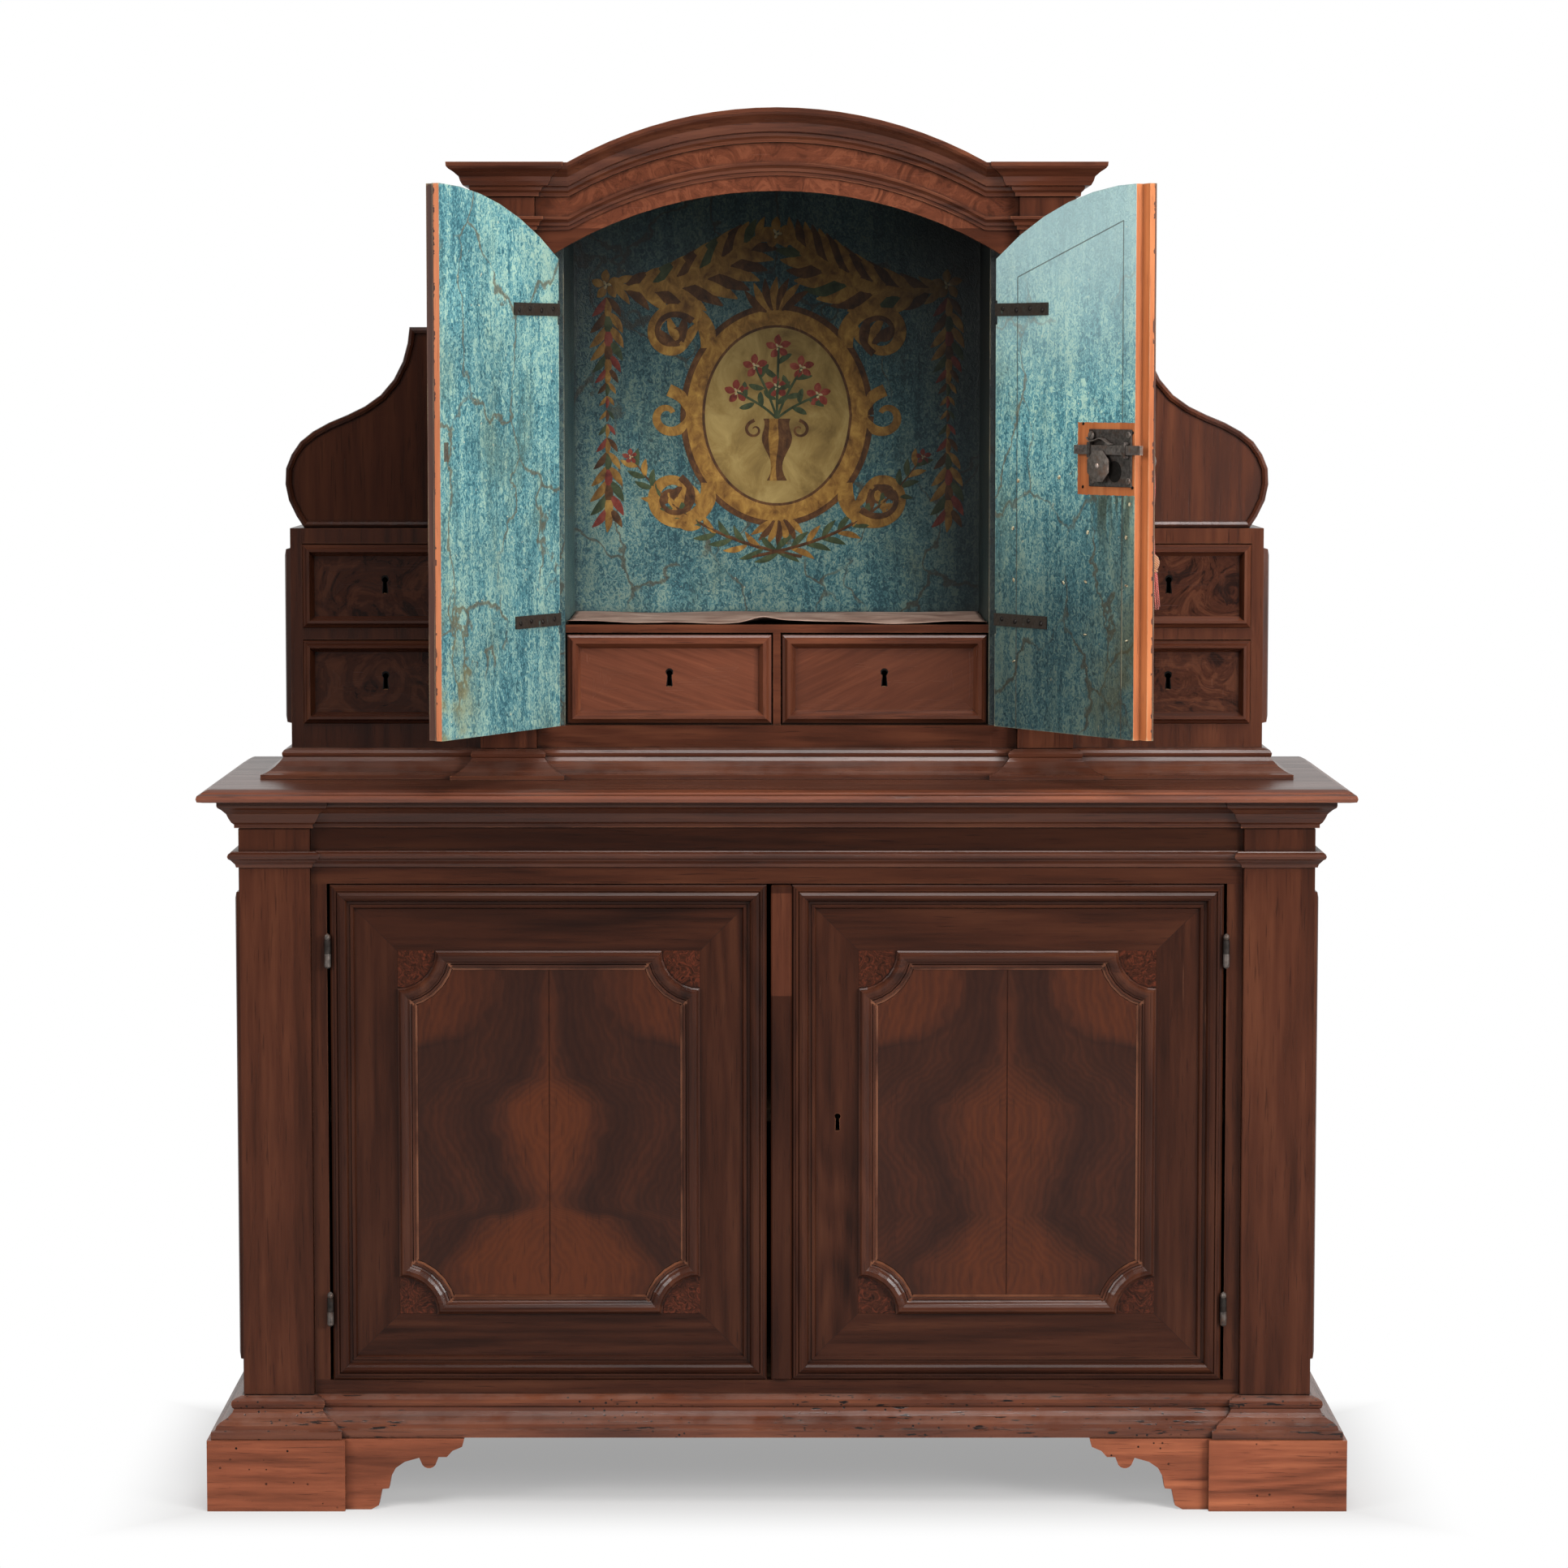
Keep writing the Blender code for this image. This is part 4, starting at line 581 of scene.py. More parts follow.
def iron(name, paint=0.0, bright=1.0, brown=0.0, tone=1.0):
    """Forged iron, brown with age; paint leaves brushed blue on it."""
    mat, tree, shader, place = finish(name, 0.5, 0.65)
    colour, level, lumps = iron_colour(tree, place)
    old = use(tree, AGE, {"Vector": place, "Reach": 0.006})
    # rubbed edges brighten as wear and painted highlight; hollows darken as dirt and painted shade
    colour = blend(tree, calc(tree, "MULTIPLY", old["RubAndGlint"], 0.6), colour, (0.22 * bright, 0.19 * bright, 0.17 * bright, 1))
    colour = blend(tree, calc(tree, "MULTIPLY", old["DirtAndShade"], 0.6), colour, (0.008, 0.006, 0.005, 1))
    colour = blend(tree, 1.0, colour, (tone, tone, tone, 1), "MULTIPLY")
    if brown:
        colour = blend(tree, brown, colour, (0.115, 0.088, 0.066, 1))
    if paint:
        skin = between(tree, noise(tree, stretch(tree, place, (1, 1, 0.6)), 75, 4, 0.65), 0.95 - paint, 1.10 - paint)
        blue, height, bare = paint_colour(tree, place)
        # the paint on the iron is darkened to match the door's painted shade
        blue = blend(tree, 1.0, blue, (0.46, 0.42, 0.38, 1), "MULTIPLY")
        # paint worn off the edges and hollows, leaving a dark outline that also serves as painted shade
        bare_and_shaded_edge = calc(tree, "MAXIMUM", old["DirtAndShade"], between(tree, old["RubAndGlint"], 0.05, 0.30))
        skin = calc(tree, "MULTIPLY", skin, calc(tree, "SUBTRACT", 1.0, bare_and_shaded_edge))
        colour = blend(tree, skin, colour, blue)
        put(tree, calc(tree, "MULTIPLY", calc(tree, "SUBTRACT", 1.0, skin), 0.65), shader.inputs["Metallic"])
    dress(tree, shader, colour, level, lumps, 0.35, 0.0010)
    return mat


def paint_colour(tree, place, deep=(0.026, 0.100, 0.128), mid=(0.086, 0.250, 0.292), pale=(0.335, 0.470, 0.395)):
    """Blue distemper; also gives its height and chip mask."""
    coat_of = use(tree, BRUSHED, {"Vector": place})
    colour = ramp(tree, coat_of["Tone"], [(0.38, deep), (0.49, mid), (0.61, pale)])
    grime = between(tree, noise(tree, stretch(tree, place, (1, 1, 0.5)), 9, 5, 0.65), 0.50, 0.72)
    colour = blend(tree, calc(tree, "MULTIPLY", grime, 0.30), colour, (0.150, 0.160, 0.072, 1))
    return colour, coat_of["Height"], coat_of["Chip"]


def painted(name, veins=5.5, shade=None, bare=None, move=(0, 0, 0), painted_top_light=0.0, side_shade=0.0):
    """Brushed blue with marble veins; painted light and shade scale it by height and darken its sides, a painted light
    pales its top, and bare cuts back to the wood.
    """
    mat, tree, shader, place = finish(name, 0.55, specular=0.35)
    spot = stretch(tree, place, (1, 1, 1), move)
    colour, height, chip = paint_colour(tree, spot)
    vein = use(tree, VEINS, {"Vector": spot, "Scale": veins})["Vein"]
    colour = blend(tree, calc(tree, "MULTIPLY", vein, 0.78), colour, (0.112, 0.088, 0.052, 1))
    colour = blend(tree, calc(tree, "MULTIPLY", chip, 0.8), colour, (0.62, 0.55, 0.38, 1))
    # painted light and shade: a factor set by height scales the paint
    if shade:
        low, high, below, above = shade
        z = split(tree, place)[2]
        level = between(tree, z, low, high, below, above)
        mottle = noise(tree, place, 7, 4, 0.6)
        level = calc(tree, "MULTIPLY", level, between(tree, mottle, 0.2, 0.8, 0.80, 1.15))
        # painted shade: the sides are darkened
        if side_shade:
            x = calc(tree, "ABSOLUTE", calc(tree, "ADD", split(tree, place)[0], 0.05))
            level = calc(tree, "MULTIPLY", level, between(tree, x, 0.12, 0.36, 1.0, side_shade))
        tint = join(tree, calc(tree, "MULTIPLY", level, 0.97), calc(tree, "MULTIPLY", level, 1.03), level)
        colour = blend(tree, 1.0, colour, tint, "MULTIPLY")
    # painted light: the top of the paint is paled towards a light blue-green
    if painted_top_light:
        top_light = calc(tree, "MULTIPLY", between(tree, split(tree, place)[2], 1.56, 1.86), painted_top_light)
        colour = blend(tree, top_light, colour, (0.40, 0.55, 0.55, 1))
    if bare:
        colour, height = bare(tree, place, colour, height)
    old = use(tree, AGE, {"Vector": place, "Reach": 0.02})
    # worn paint edges turn cream; hollows darken as dirt and painted shade
    colour = blend(tree, calc(tree, "MULTIPLY", old["RubAndGlint"], 0.65), colour, (0.50, 0.40, 0.23, 1))
    colour = blend(tree, calc(tree, "MULTIPLY", old["DirtAndShade"], 0.55), colour, (0.020, 0.022, 0.018, 1))
    dress(tree, shader, colour, 0.55, height, 0.55, 0.0014)
    return mat


def inside_box(tree, x, z, x0, x1, z0, z1):
    """Distance outside a rectangle in the door's plane, negative within it."""
    dx = calc(tree, "SUBTRACT", calc(tree, "ABSOLUTE", calc(tree, "SUBTRACT", x, (x0 + x1) / 2)), (x1 - x0) / 2)
    dz = calc(tree, "SUBTRACT", calc(tree, "ABSOLUTE", calc(tree, "SUBTRACT", z, (z0 + z1) / 2)), (z1 - z0) / 2)
    return calc(tree, "MAXIMUM", dx, dz)


def board_seams(tree, x, z):
    """Joints of the boards of the right door: two upright ones and the slanting one between them."""
    slope = (1.852 - 1.7777) / (0.304 - 0.0545)
    rise = calc(tree, "MULTIPLY", calc(tree, "ADD", x, 0.0545), -slope)
    off = calc(tree, "ABSOLUTE", calc(tree, "SUBTRACT", calc(tree, "SUBTRACT", z, rise), 1.7777))
    span = calc(tree, "LESS_THAN", calc(tree, "ABSOLUTE", calc(tree, "ADD", x, 0.17925)), 0.12475)
    seam = calc(tree, "MULTIPLY", between(tree, off, 0.0013, 0.0006), span)
    for at, top in ((0.0545, 1.7777), (0.304, 1.852)):
        near = between(tree, calc(tree, "ABSOLUTE", calc(tree, "ADD", x, at)), 0.0016, 0.0007)
        seam = calc(tree, "MAXIMUM", seam, calc(tree, "MULTIPLY", near, calc(tree, "LESS_THAN", z, top)))
    return seam


def leaf_layers(hinge, angle, shell, bare_tone, stain_top, plate=None, keeper=None):
    """Painted inner face, bare edges and dark moulded outer face of an upper door, told apart in its own frame."""
    def bare(tree, place, colour, height):
        own = stretch(tree, place, (1, 1, 1), hinge, (0, 0, angle), "TEXTURE")
        x, y, z = split(tree, own)
        wood = use(tree, GRAIN, {"Vector": own, "Figure": 3.0, "Lines": 10.0})
        raw = ramp(tree, wood["Tone"], [(0.32, (BARE[0] * 0.62, BARE[1] * 0.52, BARE[2] * 0.45)), (0.52, BARE),
                                        (0.75, (0.62, 0.27, 0.125))])
        raw = blend(tree, calc(tree, "MULTIPLY", wood["Pores"], 0.4), raw, (0.16, 0.055, 0.022, 1))
        raw = blend(tree, 1.0, raw, (*bare_tone, 1), "MULTIPLY")
        dark, level, ripple = wood_colour(tree, own, 0.9, 2.0, 8.0, 0.4)
        worn = between(tree, noise(tree, own, 60, 4, 0.6), 0.52, 0.60)
        outer = calc(tree, "LESS_THAN", y, calc(tree, "ADD", shell, calc(tree, "MULTIPLY", worn, 0.0022)))
        soiled = calc(tree, "MULTIPLY", between(tree, calc(tree, "ABSOLUTE", x), 0.19, 0.335),
                      between(tree, z, stain_top, 1.10))
        soiled = calc(tree, "MULTIPLY", soiled, between(tree, noise(tree, own, 16, 5, 0.65), 0.36, 0.62))
        colour = blend(tree, calc(tree, "MULTIPLY", soiled, 0.80), colour, (0.060, 0.050, 0.016, 1) if plate else (0.200, 0.160, 0.034, 1))
        paint = calc(tree, "GREATER_THAN", y, 0.0236)
        if plate:
            frayed = calc(tree, "MULTIPLY", noise(tree, own, 120, 3, 0.6), 0.003)
            reach = calc(tree, "ADD", inside_box(tree, x, z, *plate), frayed)
            paint = calc(tree, "MULTIPLY", paint, calc(tree, "GREATER_THAN", reach, 0.0))
            runs = noise(tree, stretch(tree, own, (1, 1, 0.12)), 55, 3, 0.6)
            drip = calc(tree, "MULTIPLY", between(tree, z, 1.345, 1.455), between(tree, z, 1.485, 1.462))
            drip = calc(tree, "MULTIPLY", drip, between(tree, calc(tree, "ABSOLUTE", calc(tree, "ADD", x, 0.285)), 0.085, 0.03))
            drip = calc(tree, "MULTIPLY", drip, between(tree, runs, 0.36, 0.58))
            colour = blend(tree, calc(tree, "MULTIPLY", drip, 0.80), colour, (0.030, 0.030, 0.010, 1))
            mark = between(tree, calc(tree, "ABSOLUTE", calc(tree, "ADD", x, 0.305)), 0.0010, 0.0005)
            mark = calc(tree, "MULTIPLY", mark, between(tree, calc(tree, "ABSOLUTE", calc(tree, "SUBTRACT", z, 1.272)), 0.080, 0.07))
            colour = blend(tree, calc(tree, "MULTIPLY", mark, 0.7), colour, (0.46, 0.42, 0.27, 1))
            colour = blend(tree, calc(tree, "MULTIPLY", board_seams(tree, x, z), 0.75), colour, (0.050, 0.042, 0.028, 1))
        if keeper:
            mark = between(tree, inside_box(tree, x, z, *keeper), 0.0012, 0.0)
            colour = blend(tree, calc(tree, "MULTIPLY", mark, 0.85), colour, (0.060, 0.030, 0.016, 1))
        colour = blend(tree, paint, raw, colour)
        colour = blend(tree, outer, colour, dark)
        return colour, blend(tree, paint, calc(tree, "MULTIPLY", ripple, 0.3), height)
    return bare


def thread(name, red, pale):
    """Twisted thread in two colours."""
    mat, tree, shader, place = finish(name, 0.8, specular=0.2)
    shader.inputs["Sheen Weight"].default_value = 0.3
    x, y, z = split(tree, place)
    twist = calc(tree, "SINE", calc(tree, "ADD", calc(tree, "MULTIPLY", z, 1900.0), calc(tree, "MULTIPLY", x, 1500.0)))
    mix = between(tree, calc(tree, "ADD", twist, calc(tree, "MULTIPLY", noise(tree, place, 500, 2), 1.2)), -0.2, 1.2)
    colour = blend(tree, mix, (*red, 1), (*pale, 1))
    fade = between(tree, noise(tree, place, 90, 3), 0.4, 0.7)
    colour = blend(tree, calc(tree, "MULTIPLY", fade, 0.3), colour, (0.30, 0.17, 0.12, 1))
    dress(tree, shader, colour, 0.8, twist, 0.5, 0.0004)
    return mat


def pigment(name, stops, scale=60.0, niche_side_shade=0.26):
    """Painted ornament: brushed tempera."""
    mat, tree, shader, place = finish(name, 0.6, specular=0.3)
    wipe = noise(tree, stretch(tree, place, (1, 1, 0.7)), scale, 5, 0.65, 0.6)
    colour = ramp(tree, wipe, stops)
    old = use(tree, AGE, {"Vector": place, "Reach": 0.004})
    # darker in the hollows: dirt and painted shade
    colour = blend(tree, calc(tree, "MULTIPLY", old["DirtAndShade"], 0.5), colour, (0.020, 0.016, 0.010, 1))
    # painted shade: the ornament darkens towards the top and the sides of the niche
    z = split(tree, place)[2]
    x = calc(tree, "ABSOLUTE", calc(tree, "ADD", split(tree, place)[0], 0.05))
    dim = calc(tree, "MULTIPLY", between(tree, z, 1.50, 1.86, 1.0, 0.35), between(tree, x, 0.12, 0.30, 1.0, niche_side_shade))
    colour = blend(tree, 1.0, colour, join(tree, dim, dim, dim), "MULTIPLY")
    dress(tree, shader, colour, 0.6, wipe, 0.3, 0.0008)
    return mat


def dusty_leather(name):
    """Dried lining sheet: pinkish brown, dusty, cockled."""
    mat, tree, shader, place = finish(name, 0.7, specular=0.3)
    cloud = noise(tree, place, 14, 5, 0.6, 0.4)
    pores = noise(tree, place, 300, 3, 0.6)
    colour = ramp(tree, cloud, [(0.3, (0.160, 0.088, 0.064)), (0.5, (0.290, 0.185, 0.142)), (0.7, (0.42, 0.30, 0.24))])
    old = use(tree, AGE, {"Vector": place, "Reach": 0.02})
    # darker in the hollows: dirt and painted shade
    colour = blend(tree, calc(tree, "MULTIPLY", old["DirtAndShade"], 0.6), colour, (0.03, 0.018, 0.012, 1))
    dress(tree, shader, colour, 0.7, calc(tree, "ADD", cloud, calc(tree, "MULTIPLY", pores, 0.3)), 0.3, 0.0010)
    return mat


# Modelling helpers
def fresh():
    bpy.ops.object.select_all(action="DESELECT")


def settle(name, material, body, turn=None):
    """Name a finished piece, put its place in its mesh and let it ride on its body."""
    piece = bpy.context.object
    if piece.type != "MESH":
        bpy.ops.object.convert(target="MESH")
        piece = bpy.context.object
    bpy.ops.object.transform_apply(location=True, rotation=True, scale=True)
    if turn is not None:
        piece.data.transform(turn)
    piece.name = name
    piece.data.name = name
    piece.data.materials.clear()
    piece.data.materials.append(material)
    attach(piece, body)
    return piece


def merge(pieces, name):
    """Join pieces into one."""
    fresh()
    for piece in pieces:
        piece.select_set(True)
    bpy.context.view_layer.objects.active = pieces[0]
    bpy.ops.object.join()
    pieces[0].name = name
    return pieces[0]


def soften(width, segments=1, angle=40):
    piece = bpy.context.object
    edge = piece.modifiers.new("arris", "BEVEL")
    edge.width = width
    edge.segments = segments
    edge.limit_method = "ANGLE"
    edge.angle_limit = math.radians(angle)
    bpy.ops.object.modifier_apply(modifier=edge.name)
    bpy.ops.object.shade_smooth_by_angle(angle=math.radians(35))


def slab(low, high):
    """Rectangular board between two corners."""
    fresh()
    mid = [(a + b) / 2 for a, b in zip(low, high)]
    bpy.ops.mesh.primitive_cube_add(size=1, location=mid)
    bpy.context.object.scale = [b - a for a, b in zip(low, high)]
    bpy.ops.object.transform_apply(location=True, rotation=True, scale=True)
    return bpy.context.object


def cut(piece, cutter, kind="DIFFERENCE"):
    tool = piece.modifiers.new("cut", "BOOLEAN")
    tool.operation = kind
    tool.solver = "EXACT"
    tool.object = cutter
    fresh()
    piece.select_set(True)
    bpy.context.view_layer.objects.active = piece
    bpy.ops.object.modifier_apply(modifier=tool.name)
    bpy.data.objects.remove(cutter)


def rod_y(x, y0, y1, z, radius, side_shade=48):
    fresh()
    bpy.ops.mesh.primitive_cylinder_add(vertices=side_shade, radius=radius, depth=y1 - y0, location=(x, (y0 + y1) / 2, z),
                                        rotation=(math.radians(90), 0, 0))
    bpy.ops.object.transform_apply(location=True, rotation=True, scale=True)
    return bpy.context.object


# Lower doors: panel boards and root corner pieces
def panel_boards(side, moulding, seam, material, body):
    """Two thin boards inside the panel moulding, parted by the crack between them."""
    low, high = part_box(moulding)
    y0, y1 = FIELD_Y - 0.0010, FIELD_Y + 0.0002
    inset, scoop = 0.0275, 0.0832
    x0, x1, z0, z1 = low[0] + inset, high[0] - inset, low[2] + inset, high[2] - inset
    spans = ((x0, seam - 0.0006), (seam + 0.0006, x1))
    for k, (a, b) in enumerate(spans):
        board = slab((a, y0, z0), (b, y1, z1))
        corner = low[0] if k == 0 else high[0]
        for z in (low[2], high[2]):
            cut(board, rod_y(corner, y0 - 0.01, y1 + 0.01, z, scoop))
        fresh()
        board.select_set(True)
        bpy.context.view_layer.objects.active = board
        soften(0.0005, 1)
        settle("panel_board_%s_%s" % (side, "left" if k == 0 else "right"), material, body)


def corner_pieces(side, moulding, material, body):
    """Root veneer let in at the scooped corners of the panel."""
    low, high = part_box(moulding)
    y0, y1 = FIELD_Y - 0.0006, FIELD_Y + 0.0002
    made = []
    for x, sx in ((low[0], 1), (high[0], -1)):
        for z, sz in ((low[2], 1), (high[2], -1)):
            xs = sorted((x, x + sx * 0.0535))
            zs = sorted((z, z + sz * 0.0535))
            block = slab((xs[0], y0, zs[0]), (xs[1], y1, zs[1]))
            cut(block, rod_y(x, y0 - 0.01, y1 + 0.01, z, 0.0545, 64), "INTERSECT")
            made.append(block)
    merge(made, "corner_pieces_" + side)
    soften(0.0002, 1)
    settle("corner_pieces_" + side, material, body)


# Ironwork
def swing(hinge, angle):
    """Carries a piece made on the closed door to its open place."""
    return Matrix.Translation(hinge) @ Matrix.Rotation(angle, 4, "Z") @ Matrix.Translation(-Vector(hinge))


def nail(x, y, z, radius=0.0042, high=0.0016, lean=0.0):
    """Hand-forged nail head, facing +Y, hammered off round."""
    fresh()
    bpy.ops.mesh.primitive_uv_sphere_add(segments=9, ring_count=6, radius=1, location=(x, y, z))
    head = bpy.context.object
    head.scale = (radius, high, radius * 0.9)
    head.rotation_euler = (lean * 0.4, lean, lean * 0.3)
    bpy.ops.object.transform_apply(location=True, rotation=True, scale=True)
    bpy.ops.object.shade_smooth()
    return head


def strap_nails(side, hinge, angle, material, body):
    """Four nails through each strap of an upper door."""
    sign = 1 if side == "left" else -1
    made = []
    for z in (1.281, 1.7313):
        for k, at in enumerate((0.022, 0.055, 0.088, 0.118)):
            x = hinge[0] + sign * at
            made.append(nail(x, hinge[1] + 0.0268, z + 0.0012 * (-1) ** k, 0.0040, 0.0017, 0.25 * k))
    merge(made, "strap_nails_" + side)
    settle("strap_nails_" + side, material, body, swing(hinge, angle))


def clenched_nails(material, body):
    """Nails clenched through the boards of the right door, their paint chipped off."""
    spots = ((0.058, 1.484), (0.157, 1.491), (0.322, 1.456), (0.046, 1.415), (0.225, 1.414), (0.314, 1.409), (0.048, 1.340),
             (0.169, 1.340), (0.221, 1.343), (0.316, 1.341), (0.221, 1.268), (0.318, 1.264), (0.050, 1.222))
    made = [nail(HINGE_R[0] - u, HINGE_R[1] + DOOR_T + 0.0002, z, 0.0034, 0.0012, 0.3 * k)
            for k, (u, z) in enumerate(spots)]
    merge(made, "clenched_nails")
    settle("clenched_nails", material, body, swing(HINGE_R, OPEN_R))


def screw(x, y, z, radius=0.0052, turn=0.6):
    """Round-headed screw with a filed slot, facing +Y."""
    head = rod_y(x, y - 0.0010, y + 0.0016, z, radius, 18)
    soften(0.0006, 2)
    fresh()
    bpy.ops.mesh.primitive_cube_add(size=1, location=(x, y + 0.0018, z), rotation=(0, turn, 0))
    slot = bpy.context.object
    slot.scale = (radius * 2.4, 0.0020, 0.0013)
    bpy.ops.object.transform_apply(location=True, rotation=True, scale=True)
    cut(head, slot)
    return head


def ribbon(points, thick, wide, turn_out=0.0):
    """Forged strip that follows points in the door plane, set on edge."""
    fresh()
    bpy.ops.mesh.primitive_plane_add(size=1)
    strip = bpy.context.object
    verts = []
    faces = []
    for k, (x, y, z) in enumerate(points):
        verts += [(x, y, z), (x, y + wide, z)]
        if k:
            b = 2 * k
            faces.append((b - 2, b, b + 1, b - 1))
    strip.data.clear_geometry()
    strip.data.from_pydata(verts, [], faces)
    grow = strip.modifiers.new("thick", "SOLIDIFY")
    grow.thickness = thick
    grow.offset = 0
    bpy.ops.object.modifier_apply(modifier=grow.name)
    soften(0.0004, 1, 50)
    return strip


def lock_fittings(metal, bright, dark, body):
    """Screws, leaf spring, cover and rivet on the lock, made on the closed door and swung open."""
    y = HINGE_R[1] + DOOR_T + 0.0003 + 0.0022
    place = swing(HINGE_R, OPEN_R)
    made = [screw(0.0990, y, 1.4880, 0.0048, 0.4), screw(0.0165, y, 1.4880, 0.0048, 1.1),
            screw(0.0165, y, 1.5530, 0.0048, 2.0), screw(0.0975, y + 0.004, 1.5510, 0.0064, 0.9)]
    arch = [(0.1060, 1.5490), (0.1020, 1.5448), (0.0940, 1.5438), (0.0860, 1.5452), (0.0780, 1.5476),
            (0.0700, 1.5468), (0.0630, 1.5436), (0.0565, 1.5402), (0.0505, 1.5392)]
    made.append(ribbon([(x, y + 0.0004, z) for x, z in arch], 0.0016, 0.0072))
    merge(made, "lock_screws_and_spring")
    settle("lock_screws_and_spring", metal, body, place)
    post = rod_y(0.0800, y - 0.0004, y + 0.0074, 1.5085, 0.0120, 20)
    fresh()
    bpy.ops.mesh.primitive_cylinder_add(vertices=8, radius=0.0265, depth=0.0020, location=(0.0765, y + 0.0080, 1.5085),
                                        rotation=(math.radians(90), math.radians(22.5), 0))
    bpy.ops.object.transform_apply(location=True, rotation=True, scale=True)
    cover = bpy.context.object
    cover.scale = (1.0, 1.0, 0.90)
    cover.location.z = 0.1509
    bpy.ops.object.transform_apply(location=True, rotation=True, scale=True)
    merge([cover, post], "lock_cover")
    soften(0.0006, 2)
    settle("lock_cover", metal, body, place)
    nail(0.0775, y + 0.0090, 1.5090, 0.0046, 0.0022)
    settle("lock_rivet", bright, body, place)
    face = HINGE_R[1] + DOOR_T
    # painted shadow: a near-black disc on the plate stands for the shaded drum beside the cover
    shadow_disc = rod_y(0.0480, y - 0.0004, y + 0.0006, 1.5010, 0.0150, 28)
    spots = ((0.1246, 1.5680), (0.0100, 1.5560), (0.0100, 1.4790), (0.1250, 1.4785))
    pins = [nail(x, face + 0.0002, z, 0.0026, 0.0010, 0.5) for x, z in spots]
    merge([shadow_disc] + pins, "lock_shadow_disc_and_pins")
    settle("lock_shadow_disc_and_pins", dark, body, place)


# Lining of the niche shelf
def shelf_lining(material):
    """Old loose lining, cockled, its front edge lifting in waves."""
    low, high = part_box("niche_shelf")
    fresh()
    bpy.ops.mesh.primitive_grid_add(x_subdivisions=96, y_subdivisions=44, size=1,
                                    location=(0, (low[1] + high[1]) / 2, high[2] + 0.0006))
    sheet = bpy.context.object
    sheet.scale = (0.620, 0.329, 1)
    bpy.ops.object.transform_apply(location=True, rotation=True, scale=True)
    front = low[1]
    for v in sheet.data.vertices:
        x, y = v.co.x, v.co.y
        near = max(0.0, 1 - (y - front) / 0.075)
        lift = 0.0018 + 0.0014 * math.sin(19 * x + 0.8) + 0.0008 * math.sin(47 * x + 2.1)
        hump = 0.0066 * math.exp(-((x + 0.022) / 0.022) ** 2)
        cockle = 0.0007 * (1 + math.sin(31 * x + 13 * y)) + 0.0006 * (1 + math.sin(57 * y - 22 * x + 1))
        v.co.z += max(0.0, near ** 1.6 * (lift + hump)) + cockle
        v.co.y += 0.0022 * near * (1 + math.sin(23 * x + 0.4)) + 0.0012 * near * math.sin(71 * x)
    skin = sheet.modifiers.new("skin", "SOLIDIFY")
    skin.thickness = 0.0009
    skin.offset = 1
    bpy.ops.object.modifier_apply(modifier=skin.name)
    bpy.ops.object.shade_smooth()
    piece = settle("shelf_lining", material, "carcass")


# Tassel on the key
HANG = (0.539224, -0.189992, 1.5005)


